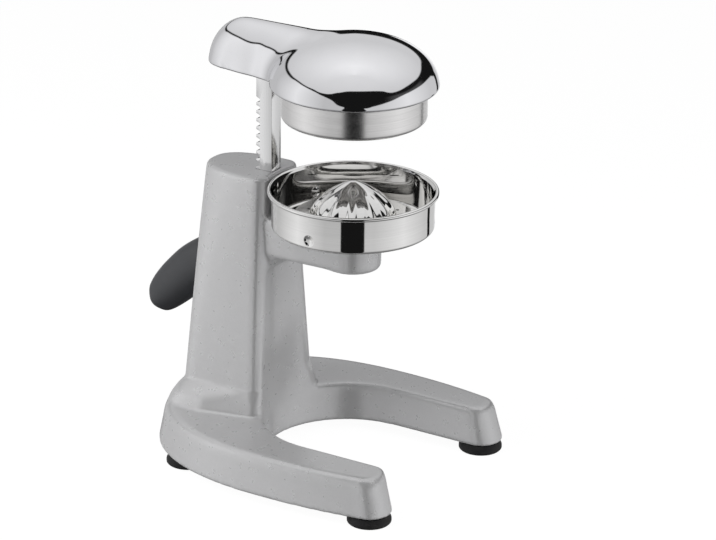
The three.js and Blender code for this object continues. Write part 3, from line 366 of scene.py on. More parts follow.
def wear_on_edges(tree, radius_mm=0.8):
    """1 on sharp edges, which handling rubs bright, and 0 on flat faces."""
    bevel = add_node(tree, "ShaderNodeBevel", {"Radius": radius_mm / 1000}, samples=4)
    plain = add_node(tree, "ShaderNodeNewGeometry").outputs["Normal"]
    same = add_node(tree, "ShaderNodeVectorMath", {0: bevel.outputs[0], 1: plain}, operation="DOT_PRODUCT")
    return ranged(tree, same.outputs["Value"], 1.0, 0.0, 0.8, 0.995)


# %% [markdown]
# ## The cast stand's finish
# The stand is cast aluminium under a satin silver-grey paint with fine metal flakes. A clear coat
# over a metal would be too glossy: the real paint is half metal, half dull, so the shader's metallic
# share is in the middle. Flakes and thin patches vary the colour a little from point to point, and the
# paint's skin is slightly uneven, with very low and broad waves.

# %% Cast paint
cast_paint, tree, shader = new_finish("cast_paint", Metallic=0.42, Specular_IOR_Level=0.1)
flakes = ranged(tree, noise(tree, 700.0, 1.0), 0.0, 1.0, 0.25, 0.75)
cloud = ranged(tree, noise(tree, 45.0, 3.0), 0.0, 0.4, 0.35, 0.65)
base = mixed(tree, flakes, (0.622, 0.622, 0.627, 1), (0.648, 0.648, 0.653, 1))
tree.links.new(mixed(tree, cloud, base, (0.62, 0.62, 0.624, 1)), shader.inputs["Base Color"])
tree.links.new(ranged(tree, noise(tree, 160.0), 0.26, 0.3), shader.inputs["Roughness"])
add_bump(tree, shader, noise(tree, 170.0, 1.0), 0.02, 0.02)
print("paint nodes", len(tree.nodes))

# %% [markdown]
# ## Rubber, plastic and bronze
# The feet are dull black rubber, moulded with a fine texture that dust clings to. The grip is a dark
# satin plastic with a light sheen on top. The bushes are sintered bronze, whose pores hold oil.

# %% Foot rubber, grip plastic and bearing bronze
foot_rubber, tree, shader = new_finish("foot_rubber", Specular_IOR_Level=0.35)
dust = ranged(tree, noise(tree, 90.0, 4.0), 0.0, 1.0, 0.45, 0.75)
rubber = mixed(tree, dust, (0.012, 0.012, 0.013, 1), (0.03, 0.029, 0.028, 1))
tree.links.new(rubber, shader.inputs["Base Color"])
tree.links.new(ranged(tree, dust, 0.55, 0.78), shader.inputs["Roughness"])
add_bump(tree, shader, noise(tree, 1800.0, 2.0), 0.25, 0.08)

grip_plastic, tree, shader = new_finish("grip_plastic", Specular_IOR_Level=1.0)
mould = noise(tree, 60.0, 3.0)
plastic = mixed(tree, mould, (0.013, 0.0145, 0.018, 1), (0.019, 0.021, 0.026, 1))
tree.links.new(plastic, shader.inputs["Base Color"])
tree.links.new(ranged(tree, noise(tree, 260.0, 3.0), 0.3, 0.42), shader.inputs["Roughness"])
add_bump(tree, shader, noise(tree, 1300.0, 2.0), 0.12, 0.06)

bearing_bronze, tree, shader = new_finish("bearing_bronze", Metallic=1.0)
pores = noise(tree, 1500.0, 3.0)
bronze = mixed(tree, ranged(tree, pores, 0.0, 1.0, 0.4, 0.62), (0.3, 0.19, 0.08, 1), (0.6, 0.42, 0.2, 1))
tree.links.new(bronze, shader.inputs["Base Color"])
tree.links.new(ranged(tree, pores, 0.5, 0.32), shader.inputs["Roughness"])
add_bump(tree, shader, pores, 0.2, 0.05)

# %% [markdown]
# ## Chrome on the head and the lever
# The head is a casting that is ground, polished and chrome plated. It mirrors the studio, with a very
# slight waviness that the polishing wheel left. A perfect mirror would look like a drawing, so a
# broad, shallow noise bends the reflections and a finer one dulls them where hands go.

# %% Head chrome and lever chrome
def chrome_finish(name, wave_height_mm, colour):
    material, tree, shader = new_finish(name, Metallic=1.0)
    smears = ranged(tree, noise(tree, 38.0, 4.0), 0.0, 1.0, 0.4, 0.75)
    shine = mixed(tree, smears, colour, tuple(0.965 * part for part in colour[:3]) + (1,))
    tree.links.new(shine, shader.inputs["Base Color"])
    fine = ranged(tree, noise(tree, 900.0, 2.0), -0.008, 0.008)
    tree.links.new(maths(tree, "ADD", ranged(tree, smears, 0.045, 0.075), fine), shader.inputs["Roughness"])
    add_bump(tree, shader, noise(tree, 26.0, 1.0), 0.6, wave_height_mm)
    return material


head_chrome = chrome_finish("head_chrome", 0.12, (0.905, 0.905, 0.92, 1))
lever_chrome = chrome_finish("lever_chrome", 0.1, (0.9, 0.9, 0.91, 1))

# %% [markdown]
# ## Pressed and turned steel
# The bowl is polished sheet, nearly a mirror. The bell below the head is brushed round its wall, which
# spreads each light into a soft upright band. Both were made while spinning, so their marks run round
# the bowl's axis. The shader's own anisotropy does the spreading, and stretched noise draws the lines.

# %% Polished, brushed and strainer steel
def spun_steel(name, colour, roughness, lines, anisotropy, line_height_mm, contrast=0.14):
    material, tree, shader = new_finish(name, Metallic=1.0, Anisotropic=anisotropy)
    around = round_the_axis(tree, 0.9, lines)
    marks = noise(tree, 1.0, 3.0, around, 0.6)
    dark = tuple((1 - contrast) * part for part in colour[:3]) + (1,)
    lined = mixed(tree, ranged(tree, marks, 0.0, 1.0, 0.3, 0.7), dark, colour)
    tree.links.new(lined, shader.inputs["Base Color"])
    patches = ranged(tree, noise(tree, 55.0, 3.0), -0.12, 0.12)
    spread = maths(tree, "ADD", ranged(tree, marks, roughness * 1.15, roughness * 0.85, 0.3, 0.7),
                   maths(tree, "MULTIPLY", patches, roughness))
    tree.links.new(spread, shader.inputs["Roughness"])
    if anisotropy > 0:
        tangent = add_node(tree, "ShaderNodeTangent", direction_type="RADIAL", axis="Z")
        tree.links.new(tangent.outputs[0], shader.inputs["Tangent"])
    add_bump(tree, shader, marks, 0.25, line_height_mm)
    return material


polished_steel = spun_steel("polished_steel", (0.95, 0.945, 0.93, 1), 0.045, 1200.0, 0.0, 0.0003, 0.05)
bell_steel = spun_steel("bell_steel", (0.93, 0.92, 0.91, 1), 0.2, 3000.0, 0.45, 0.002, 0.1)
strainer_steel = spun_steel("strainer_steel", (0.84, 0.83, 0.81, 1), 0.2, 1600.0, 0.3, 0.008)

# %% [markdown]
# ## The rack, the axle and the screws
# The rack is ground along its length, so its lines run up and down and lights spread sideways. The
# pinion and the axle are as the machine left them, with a film of oil. Screws and washers are zinc
# plated, slightly blotchy and a little yellow-blue.

# %% Rack steel, machined steel and fastener steel
rack_steel, tree, shader = new_finish("rack_steel", Metallic=1.0)
along_rack = add_node(tree, "ShaderNodeMapping", {
    "Vector": add_node(tree, "ShaderNodeTexCoord").outputs["Object"], "Scale": (1500.0, 1500.0, 14.0),
}).outputs[0]
ground = noise(tree, 1.0, 3.0, along_rack, 0.6)
shine = mixed(tree, ground, (0.86, 0.86, 0.86, 1), (0.97, 0.97, 0.965, 1))
tree.links.new(shine, shader.inputs["Base Color"])
tree.links.new(ranged(tree, ground, 0.18, 0.11), shader.inputs["Roughness"])
add_bump(tree, shader, ground, 0.25, 0.01)

machined_steel, tree, shader = new_finish("machined_steel", Metallic=1.0)
along_axle = add_node(tree, "ShaderNodeMapping", {
    "Vector": add_node(tree, "ShaderNodeTexCoord").outputs["Object"], "Scale": (2200.0, 60.0, 60.0),
}).outputs[0]
tool_marks = noise(tree, 1.0, 3.0, along_axle, 0.6)
oil = ranged(tree, noise(tree, 120.0, 3.0), 0.0, 1.0, 0.45, 0.65)
steel = mixed(tree, oil, (0.52, 0.52, 0.52, 1), (0.38, 0.36, 0.33, 1))
marked = mixed(tree, ranged(tree, tool_marks, 0.0, 0.4), steel, (0.62, 0.62, 0.63, 1))
tree.links.new(marked, shader.inputs["Base Color"])
tree.links.new(ranged(tree, oil, 0.34, 0.2), shader.inputs["Roughness"])
add_bump(tree, shader, tool_marks, 0.3, 0.02)

fastener_steel, tree, shader = new_finish("fastener_steel", Metallic=1.0)
blotches = noise(tree, 220.0, 4.0)
zinc = mixed(tree, blotches, (0.6, 0.6, 0.58, 1), (0.7, 0.71, 0.73, 1))
worn = mixed(tree, wear_on_edges(tree, 0.4), zinc, (0.82, 0.82, 0.82, 1))
tree.links.new(worn, shader.inputs["Base Color"])
tree.links.new(ranged(tree, blotches, 0.36, 0.22), shader.inputs["Roughness"])
add_bump(tree, shader, noise(tree, 1400.0, 2.0), 0.15, 0.02)
finishes = {
    "cast_paint": cast_paint, "foot_rubber": foot_rubber, "fastener_steel": fastener_steel,
    "polished_steel": polished_steel, "strainer_steel": strainer_steel, "rack_steel": rack_steel,
    "machined_steel": machined_steel, "bearing_bronze": bearing_bronze, "lever_chrome": lever_chrome,
    "grip_plastic": grip_plastic, "head_chrome": head_chrome, "bell_steel": bell_steel,
}
print("finishes", len(finishes))

# %% [markdown]
# ## Dressing a piece
# Each new piece stands for one node of the frame: it hides it, moves with its body and takes its
# finish from the record. One function does that for every piece, so that none is forgotten.

# %% Which node has which body and slot
node_slot = {part["node"]: part["material_slot"] for part in frame["record"]["subparts"]}
node_body = {}
for body, names in frame["record"]["behaviour"]["bodies"].items():
    for name in names:
        node_body[name] = body
dressed = []


def dress(piece, node):
    piece.data.materials.clear()
    piece.data.materials.append(finishes[node_slot[node]])
    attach(piece, node_body[node])
    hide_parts(node)
    dressed.append(node)
    print("dressed", node, "with", len(piece.data.polygons), "faces")


print("nodes to dress", len(node_slot))

# %% [markdown]
# ## Sizes of the stand
# The stand is one casting: a horseshoe base that is open to the front, a column that is hollowed
# round the bowl, a low shoulder where they meet, and an arm with a round boss under the bowl. Its sizes are
# those of the frame's own drawing.

# %% Sizes of the base and the column
underside = 8.0
base_top = 38.5
base_half = 103.5
toe_rounding = 24.0
base_widest_y = 13.0
toe_radius = 17.0
toe_half_span = base_half - toe_rounding
toe_reach = 66.7
crotch_y = 64.0
well_radius = 65.0
column_foot = 57.0
column_top = 221.4
pinion_pitch_radius = 17.0
rack_pitch_y = well_radius + 15.0
axle_y = rack_pitch_y + pinion_pitch_radius
axle_z = column_top - 52.7
base_back_y = axle_y + 55.0
wall = 4.5
shoulder_back = base_back_y - 15.2
column_back = base_back_y - 15.2 - 9.0
column_widest = column_back - 27.8
column_foot_section = {
    "front": 39.8, "half": 41.3, "widest": column_widest, "back": column_back, "power": 6.0,
}
column_top_section = {
    "front": 26.4, "half": 26.4, "widest": well_radius + 7.0, "back": column_back - 3.3, "power": 2.5,
}
shoulder_section = {
    "front": 45.0, "half": 54.5, "widest": column_widest, "back": shoulder_back, "power": 6.0,
}
stand_low, stand_high = node_box("stand")
print("stand in mm", np.round(stand_low, 1), np.round(stand_high, 1))

# %% [markdown]
# ## Outlines of the stand
# Every level of the casting is one closed line, so each part of the stand is a stack of such lines.
# Subdivision would round them by feel. Lines from arcs and superellipses keep the sizes that the
# photograph gave, and only their height and inset change from level to level.

# %% Lines for the levels
def quarter(half, y, depth, power, steps):
    angles = np.linspace(0, np.pi / 2, steps + 1)
    x = half * np.clip(np.cos(angles), 0, 1) ** (2 / power)
    x[-1] = 0
    return np.column_stack([x, y + depth * np.sin(angles) ** (2 / power)])


def mirrored(half):
    left = half[1:-1][::-1] * np.array([-1, 1])
    return np.vstack([half, left])


def evenly(line, spacing):
    """The same open line with points at even distances."""
    steps = np.linalg.norm(np.diff(line, axis=0), axis=1)
    reach = np.concatenate([[0], np.cumsum(steps)])
    places = np.linspace(0, reach[-1], max(int(reach[-1] / spacing), 2) + 1)
    return np.column_stack([np.interp(places, reach, line[:, i]) for i in range(2)])


def inset(outline, distance):
    back = outline - np.roll(outline, 1, axis=0)
    ahead = np.roll(outline, -1, axis=0) - outline
    back /= np.linalg.norm(back, axis=1)[:, None]
    ahead /= np.linalg.norm(ahead, axis=1)[:, None]
    inward = np.column_stack([-back[:, 1] - ahead[:, 1], back[:, 0] + ahead[:, 0]])
    inward /= np.linalg.norm(inward, axis=1)[:, None]
    mitre = np.maximum(-inward[:, 0] * back[:, 1] + inward[:, 1] * back[:, 0], 0.5)
    return outline + inward * (np.broadcast_to(distance, mitre.shape) / mitre)[:, None]


def level(outline, height):
    return np.column_stack([outline, np.full(len(outline), float(height))])


def base_outline():
    inner_x = toe_half_span - toe_radius
    crotch = arc(0, crotch_y - inner_x, inner_x, 90, 0, 40)
    toe = arc(toe_half_span, -toe_reach, toe_radius, -180, 0, 28)
    share = np.linspace(0, 1, 25)[1:]
    outer = np.column_stack([
        base_half - (toe_rounding - toe_radius) * (1 - share) ** 2,
        -toe_reach + (base_widest_y + toe_reach) * share,
    ])
    back = quarter(base_half, base_widest_y, base_back_y - base_widest_y, 2.3, 60)[1:]
    return mirrored(np.vstack([crotch, toe, outer, back]))


def base_level(height, edge, skin):
    share = (height - underside) / (base_top - underside)
    outline = base_outline()
    ahead = np.maximum(base_widest_y - outline[:, 1], 0) / (base_widest_y + toe_reach + toe_radius)
    behind = np.maximum(outline[:, 1] - base_widest_y, 0) / (base_back_y - base_widest_y)
    outline[:, 1] += share * (5.4 * ahead ** 2 - 2.6 * behind ** 2)
    outwards = np.clip((np.abs(outline[:, 0]) - toe_half_span + toe_radius) / toe_radius, 0, 1)
    rounding = np.where(outline[:, 1] > crotch_y, 1.0, 0.3 + 0.7 * outwards)
    return level(inset(outline, skin + edge * rounding), height)


def between(low, high, share):
    return {key: low[key] + (high[key] - low[key]) * share for key in low}


def column_outline(section):
    corner = 8.8
    corner_x = section["front"] - corner
    corner_y = math.sqrt((well_radius + corner) ** 2 - corner_x ** 2)
    side_y = max(section["widest"], corner_y + 0.7)
    turn = math.degrees(math.atan2(corner_y, corner_x))
    front = arc(0, 0, well_radius, 90, turn, 24)
    round_corner = arc(corner_x, corner_y, corner, turn - 180, 0, 20)[1:]
    back = quarter(section["half"], side_y, section["back"] - side_y, section["power"], 60)
    return mirrored(np.vstack([front, round_corner, back]))


def column_at(height):
    share = (height - column_foot) / (column_top - column_foot)
    return column_outline(between(column_foot_section, column_top_section, share))


print("points in an outline", len(base_outline()), len(column_at(100.0)))

# %% [markdown]
# ## Casting the stand
# In the foundry the stand is one pour, so its parts flow into each other. Here the base, the column,
# the shoulder, the arm and the boss are made as overlapping bodies. A voxel remesh turns them into one
# skin, and a few passes of softening round the inner corners as sand and paint do. Bevels on every
# edge would be the other way, but they fail where so many curved faces meet.

# %% The base and the column
base_levels = []
for angle in np.linspace(0, np.pi / 2, 4)[:-1]:
    base_levels.append(base_level(underside + 1.2 * (1 - math.cos(angle)), 1.2 * (1 - math.sin(angle)), 0))
wall_top = base_top - 11.3
for share in np.linspace(0, 1, 4):
    base_levels.append(base_level(underside + 1.2 + (wall_top - underside - 1.2) * share, 2.4 * share, 0))
for angle in np.linspace(0, np.pi / 2, 15)[1:]:
    base_levels.append(base_level(wall_top + 11.3 * math.sin(angle), 2.4 + 5.0 * (1 - math.cos(angle)), 0))
stand = loft("cast_stand", base_levels)
top_edge = 1.6
column_levels = [
    level(column_at(height), height) for height in np.linspace(base_top - wall, column_top - top_edge, 24)
]
for angle in np.linspace(0, np.pi / 2, 5)[1:]:
    height = column_top - top_edge + top_edge * math.sin(angle)
    column_levels.append(level(inset(column_at(column_top), top_edge * (1 - math.cos(angle))), height))
column = loft("column", column_levels)

# %% The shoulder, lower at its rear than at its sides
def shoulder_level(share, height):
    outline = column_outline(between(column_foot_section, shoulder_section, share))
    ring = level(outline, height)
    behind = np.clip((outline[:, 1] - 100.0) / 36.0, 0, 1)
    ring[:, 2] -= 4.5 * behind ** 2 * max(height - base_top, 0) / (column_foot - base_top)
    return ring


shoulder_levels = [shoulder_level(1, base_top - wall)]
for angle in np.linspace(0, np.pi / 2, 15):
    rise = math.sin(angle) ** (2 / 1.4)
    shoulder_levels.append(shoulder_level(max(math.cos(angle), 0) ** (2 / 1.4), base_top + 18.5 * rise))
shoulder = loft("shoulder", shoulder_levels)

# %% The arm, its boss and the hollow curve below it
arm_top = 190.7
arm_under = arm_top - 29.9
boss_under = arm_top - 30.9
boss_radius = 21.3
arm_line = mirrored(np.vstack([
    arc(0, 0, boss_radius, -90, 0, 32),
    [[24.0, well_radius + 7.0], [0.0, well_radius + 7.0]],
]))
arm_levels = []
arm_edge = 2.6
for angle in np.linspace(0, np.pi / 2, 6):
    ring = inset(arm_line, arm_edge * (1 - math.sin(angle)))
    arm_levels.append(level(ring, arm_under + arm_edge * (1 - math.cos(angle))))
arm_levels.append(level(arm_line, arm_top))
arm = loft("arm", arm_levels)
boss_side = eased([(0.0, boss_under), (boss_radius, boss_under), (boss_radius, arm_top)], 2.8, 6)
boss = turned("boss", [(0, boss_under), *boss_side[1:-1], (boss_radius, arm_top), (0, arm_top)])
web_front = well_radius - 4.7
web_line = np.vstack([
    arc(web_front - 11.0, arm_under - 11.0, 11.0, 90, 0, 16),
    [[72.0, arm_under - 11.0], [72.0, arm_under + arm_edge], [web_front - 11.0, arm_under + arm_edge]],
])
web = loft("web", [[(x, y, z) for y, z in web_line] for x in (-21.4, 21.4)])
for part in (column, shoulder, arm, boss, web):
    combine(stand, part, "UNION")
print("stand as drawn", len(stand.data.polygons), "faces")

# %% One skin, softened
remesh(stand, 1.25)
soften(stand, 8)
print("stand as one skin", len(stand.data.polygons), "faces")

# %% [markdown]
# ## The inside of the stand
# A casting has walls of even thickness, so it is open below. The hollow carries the rack's guide, the
# bosses of the feet and the bearings of the axle: these are taken out of the tool that cuts the
# hollow, so that their metal stays in the stand.

# %% Cutting the hollow
ceiling = column_top - 9.0
hollow = loft("hollow", [
    level(inset(column_at(height), wall), height) for height in np.linspace(underside - 1.0, ceiling, 12)
])
base_hollow = loft("base_hollow", [
    base_level(underside - 1.0, 0, wall),
    base_level(base_top - 11.3, 2.4, wall),
    base_level(base_top - wall - 2.0, 4.6, wall),
    base_level(base_top - wall, 7.4, wall),
])
combine(hollow, base_hollow, "UNION")
rear_foot = (base_half - 38.5, base_back_y - 49.0)
feet = {
    "front_left": (-toe_half_span, -toe_reach), "front_right": (toe_half_span, -toe_reach),
    "rear_left": (-rear_foot[0], rear_foot[1]), "rear_right": rear_foot,
}
rack_front = well_radius + 2.3 + 0.3
guide_low = node_box("rack")[0][2]
combine(hollow, block("guide", (-14, 60, guide_low), (14, well_radius + 12.5, ceiling + 5)))
for x, y in feet.values():
    combine(hollow, post("foot_boss", 8.0, 0, base_top, at=(x, y)))


def half_width_at(height, y):
    share = (height - column_foot) / (column_top - column_foot)
    section = between(column_foot_section, column_top_section, share)
    reach = max(y - section["widest"], 0) / (section["back"] - section["widest"])
    return section["half"] * (1 - reach ** section["power"]) ** (1 / section["power"])


axle_wall = half_width_at(axle_z, axle_y)
far_pad = axle_wall + 3.0
near_end = axle_wall - 4.2
combine(hollow, post("near_boss", 12.0, -80, -15, 64, "X", (axle_y, axle_z)))
combine(hollow, post("far_boss", 15.0, 15, 80, 64, "X", (axle_y, axle_z)))
combine(stand, hollow)
print("hollow cut, far pad at x", round(far_pad, 2))

# %% The bearing pad, the bores and the screw holes
pad = turned("pad", [
    (0, far_pad - 8), (15.0, far_pad - 8), (15.0, far_pad - 0.6), (14.4, far_pad), (0, far_pad),
], 96, "X", (axle_y, axle_z))
combine(stand, pad, "UNION")
rack_box = node_box("rack")
slide = 0.3
combine(stand, block(
    "channel",
    (rack_box[0][0] - slide, rack_front - slide, 68.0),
    (rack_box[1][0] + slide, rack_box[1][1] + slide, column_top + 5),
))
combine(stand, post("near_bore", 8.8, -near_end + 3.0, -10, 64, "X", (axle_y, axle_z)))
combine(stand, post("far_bore", 8.8, 14, far_pad + 3, 64, "X", (axle_y, axle_z)))
combine(stand, post("spout_bore", 12.6, boss_under - 3, arm_top + 3, 64))
for x, y in feet.values():
    combine(stand, post("screw_hole", 3.15, 0, 25.1, 24, at=(x, y)))
shade(stand, math.radians(50))
dress(stand, "stand")

# %% [markdown]
# ## Feet and their screws
# Four rubber discs keep the press from sliding, each held by a screw in a recess. A turned profile
# with eased corners gives the moulded look; the screws get a cross recess.

# %% Feet
foot_profile = eased([
    (6.4, 0), (15.0, 0), (16.4, 1.4), (16.4, 4.0), (14.6, 7.7),
    (3.1, 7.7), (3.1, 4.2), (6.4, 4.2), (6.4, 0),
], 0.7)
for corner, (x, y) in feet.items():
    foot = turned("rubber_foot_" + corner, foot_profile, 96, at=(x, y))
    dress(foot, "foot_" + corner)


# %% Screws of the feet
def cross_recess(name, x, y, low, high, size):
    first = block(name, (x - size, y - size / 4, low), (x + size, y + size / 4, high))
    second = block(name + "_b", (x - size / 4, y - size, low), (x + size / 4, y + size, high))
    combine(first, second, "UNION")
    return first


seat = 3.9
for corner, (x, y) in feet.items():
    screw_profile = [
        (0, seat - 2.6), (2.6, seat - 2.55), (4.2, seat - 2.2), (5.0, seat - 1.4), (5.2, seat - 0.7),
        (5.2, seat - 0.15), (5.05, seat), (2.8, seat), (2.8, seat + 19.4), (2.3, seat + 20), (0, seat + 20),
    ]
    screw = turned("base_screw_" + corner, screw_profile, 48, at=(x, y))
    combine(screw, cross_recess("cross", x, y, seat - 4, seat - 1.2, 2.6))
    dress(screw, "foot_screw_" + corner)

# %% [markdown]
# ## The juice bowl
# The bowl is deep drawn from one sheet, with a rolled rim, a soft corner at the floor and a spout in
# its middle. Three small marks are pressed into the wall to hold the strainer. They could be cut
# with spheres, but a press leaves no sharp edge, so the points of a finer patch are moved inwards.

# %% Bowl
bowl_rim_radius = 63.3
bowl_wall = 60.2
bowl_floor = 191.0
rim_height = 220.2
sheet = 1.0
bead = 1.6
bowl_profile = [(12.0, boss_under + 1.6), (12.0, bowl_floor - 1.2)]
bowl_profile += arc(13.2, bowl_floor - 1.2, 1.2, 180, 90, 5)[1:].tolist()
bowl_profile += arc(bowl_wall - 2.6, bowl_floor + 2.6, 2.6, -90, 0, 10).tolist()
dent_height = 198.2
bowl_profile += [(bowl_wall, height) for height in np.arange(bowl_floor + 3.0, 204.0, 0.3)]
bowl_profile += arc(bowl_rim_radius - bead, rim_height - bead, bead, -135, 153, 22).tolist()
bowl_profile += [(bowl_wall - sheet, rim_height - bead - 0.6)]
bowl_profile += [(bowl_wall - sheet, height) for height in np.arange(204.0, bowl_floor + 3.0, -0.3)]
bowl_profile += arc(bowl_wall - 2.6, bowl_floor + 2.6, 1.6, 0, -90, 8).tolist()
bowl_profile += arc(13.2, bowl_floor - 1.2, 2.2, 90, 180, 6).tolist()
bowl_profile += [(11.0, boss_under + 1.6), (12.0, boss_under + 1.6)]
dent_angles = np.radians([180.0, 300.0, 60.0])
angles = set(np.round(np.linspace(0, 360, 300, endpoint=False), 3).tolist())
for angle in np.degrees(dent_angles):
    angles |= set(np.round(angle + np.linspace(-5, 5, 41), 3).tolist())
angles = np.radians(sorted(value % 360 for value in angles))
grid = spun(bowl_profile[:-1], angles, "Z", (0, 0))
flat = grid.reshape(-1, 3)
turn = np.arctan2(flat[:, 1], flat[:, 0])
for angle in dent_angles:
    off = (turn - angle + np.pi) % (2 * np.pi) - np.pi
    away = np.hypot(off * bowl_wall, flat[:, 2] - dent_height) / 4.3
    on_wall = np.hypot(flat[:, 0], flat[:, 1]) > bowl_wall - 1.5
    push = np.where((away < 1) & on_wall, 1.6 * (1 - np.minimum(away, 1) ** 2) ** 1.2, 0)
    flat[:, 0] -= push * np.cos(turn)
    flat[:, 1] -= push * np.sin(turn)
bowl = make_piece("drawn_bowl", flat, row_faces(grid.shape[0], len(angles), wrap=True))
dress(bowl, "juice_bowl")

# %% [markdown]
# ## Strainer and cone
# The strainer is a pressed plate on a skirt: small holes let the juice through, and notches in the
# skirt let it run to the spout. The cone has twelve ribs that bite into the pulp. They could be twelve
# added wedges, but each rib is a smooth wave round the cone, so the cone is a loft with waves for rows.

# %% Strainer
skirt_foot = bowl_floor + sheet + 0.3
plate_top = 200.2
strainer_profile = [(25.0, plate_top)]
strainer_profile += arc(42.6, plate_top - 2.0, 2.0, 90, 0, 8).tolist()
strainer_profile += [(44.6, skirt_foot), (43.6, skirt_foot)]
strainer_profile += arc(42.6, plate_top - 2.0, 1.0, 0, 90, 6).tolist()
strainer_profile += [(25.0, plate_top - 1.0), (25.0, plate_top)]
strainer = turned("strainer", strainer_profile, 240)
for i in range(10):
    angle = math.radians(32 + 36 * i)
    at = (34.4 * math.cos(angle), 34.4 * math.sin(angle))
    combine(strainer, post("hole", 1.3, plate_top - 3, plate_top + 2, 24, at=at))
for i in range(6):
    angle = math.radians(60 * (i + 0.5))
    along = np.array([math.cos(angle), math.sin(angle)])
    across = np.array([-along[1], along[0]])
    gap = arc(0, skirt_foot, 3.45, 0, 180, 12)
    rows = [[(*(along * reach + across * side), height) for side, height in gap] for reach in (41.0, 48.0)]
    combine(strainer, loft("notch", rows))
dress(strainer, "strainer_plate")


# %% Cone
cone_radius = 31.0
cone_height = 26.5
rib_count = 12
rib_depth = 1.7


def cone_row(share, thickness):
    radius = (cone_radius - thickness) * (1 - share ** 1.5) ** (1 / 1.5) + rib_depth * (1 - share)
    depth = 0 if thickness else rib_depth * math.sin(math.pi * min(share + 0.25, 1))
    turn = np.linspace(0, 2 * np.pi, 288, endpoint=False)
    wave = np.cos(rib_count * turn)
    soft = np.where(wave > -0.3, wave, -0.3 - 0.12 * (1 - np.exp((wave + 0.3) / 0.3)))
    reach = radius - rib_depth + depth * soft
    low = plate_top + 0.3
    height = low + (cone_height - thickness) * share - (0.15 if thickness else 0)
    return np.column_stack([reach * np.cos(turn), reach * np.sin(turn), np.full_like(turn, height)])


cone_shares = 0.97 * np.sin(np.linspace(0, np.pi / 2, 26))
cone = loft("ribbed_cone", [cone_row(share, 0) for share in cone_shares])
inside = loft("cone_inside", [cone_row(share, 1.6) for share in cone_shares])
combine(cone, inside)
dress(cone, "reamer_cone")

# %% [markdown]
# ## The chromed head
# The head is one casting: a flat dome over the bell and a rounded lobe behind it that grips the rack.
# The two flow into each other through a soft valley. A boolean union would leave a hard line there and
# a remesh would ripple the mirror, so the surface is found directly: along rays from a point inside,
# each point is where a smooth blend of the two forms crosses zero.

# %% The two forms and their blend
dome_radius = 62.0
dome_height = 35.2
dome_foot = column_top + 80.1
head_lip = dome_foot - 2.7
lobe_under = dome_foot - 2.3
lobe_wall_top = dome_foot + 1.0
lobe_front = 22.0
lobe_back = rack_pitch_y + 43.0
lobe_crown = 32.6
lobe_power = 1.87
dome_power = 2.1
ridge_end = lobe_back - 29.0
lobe_places = np.array([0, 0.24, 0.43, 0.53, 0.62, 0.77, 0.87, 0.93, 0.975, 0.994, 1.0])
lobe_widths = np.array([1.3, 1.25, 1.1, 1.02, 0.99, 0.89, 0.81, 0.68, 0.46, 0.23, 0.0]) * 23.0
lobe_line = np.column_stack([lobe_widths, lobe_front + (lobe_back - lobe_front) * lobe_places])


def smooth_curve(xs, ys, at):
    """A curve through the points that never swings past them."""
    xs = np.asarray(xs, float)
    ys = np.asarray(ys, float)
    step = np.diff(xs)
    slope = np.diff(ys) / step
    tangent = np.zeros(len(xs))
    same = slope[:-1] * slope[1:] > 0
    weight_a = 2 * step[1:] + step[:-1]
    weight_b = step[1:] + 2 * step[:-1]
    with np.errstate(divide="ignore", invalid="ignore"):
        mean = (weight_a + weight_b) / (weight_a / slope[:-1] + weight_b / slope[1:])
    tangent[1:-1] = np.where(same, mean, 0)
    tangent[0] = slope[0]
    tangent[-1] = slope[-1]
    at = np.clip(at, xs[0], xs[-1])
    i = np.clip(np.searchsorted(xs, at, side="right") - 1, 0, len(xs) - 2)
    t = (at - xs[i]) / step[i]
    return (
        (1 + 2 * t) * (1 - t) ** 2 * ys[i] + t * (1 - t) ** 2 * step[i] * tangent[i]
        + t * t * (3 - 2 * t) * ys[i + 1] + t * t * (t - 1) * step[i] * tangent[i + 1]
    )


end_angles = np.arctan2(lobe_line[:, 1] - ridge_end, lobe_line[:, 0])
end_reach = np.hypot(lobe_line[:, 0], lobe_line[:, 1] - ridge_end)
behind = lobe_line[:, 1] >= ridge_end - 8
end_angles = end_angles[behind]
end_reach = end_reach[behind]


def lobe_form(x, y, z):
    side = np.abs(x)
    width = smooth_curve(lobe_line[:8, 1], lobe_line[:8, 0], y)
    angle = np.arctan2(y - ridge_end, side)
    reach = smooth_curve(end_angles, end_reach, angle)
    flat_gauge = np.where(y > ridge_end, np.hypot(side, y - ridge_end) / reach, side / width)
    rise = np.maximum(z - lobe_wall_top, 0) / lobe_crown
    front = np.maximum(lobe_front + 8 - y, 0) / 24.0
    total = flat_gauge ** lobe_power + rise ** lobe_power + front ** lobe_power
    return (total ** (1 / lobe_power) - 1) * 24.0


def dome_form(x, y, z):
    rise = np.maximum(z - dome_foot, 0) / dome_height
    out = np.hypot(x, y) / dome_radius
    return ((out ** dome_power + rise ** dome_power) ** (1 / dome_power) - 1) * 45.0


def head_form(x, y, z, blend=5.5):
    first = dome_form(x, y, z)
    second = lobe_form(x, y, z)
    near = np.maximum(blend - np.abs(first - second), 0) / blend
    return np.minimum(first, second) - near * near * blend * 0.25


# %% Rays from a point inside the head
centre = np.array([0.0, 42.0, lobe_wall_top])


def head_reach(direction):
    low = np.zeros(direction.shape[:-1])
    high = np.full(direction.shape[:-1], 150.0)
    for _ in range(34):
        middle = (low + high) / 2
        spot = centre + direction * middle[..., None]
        within = head_form(spot[..., 0], spot[..., 1], spot[..., 2]) < 0
        low = np.where(within, middle, low)
        high = np.where(within, high, middle)
    return centre + direction * low[..., None]


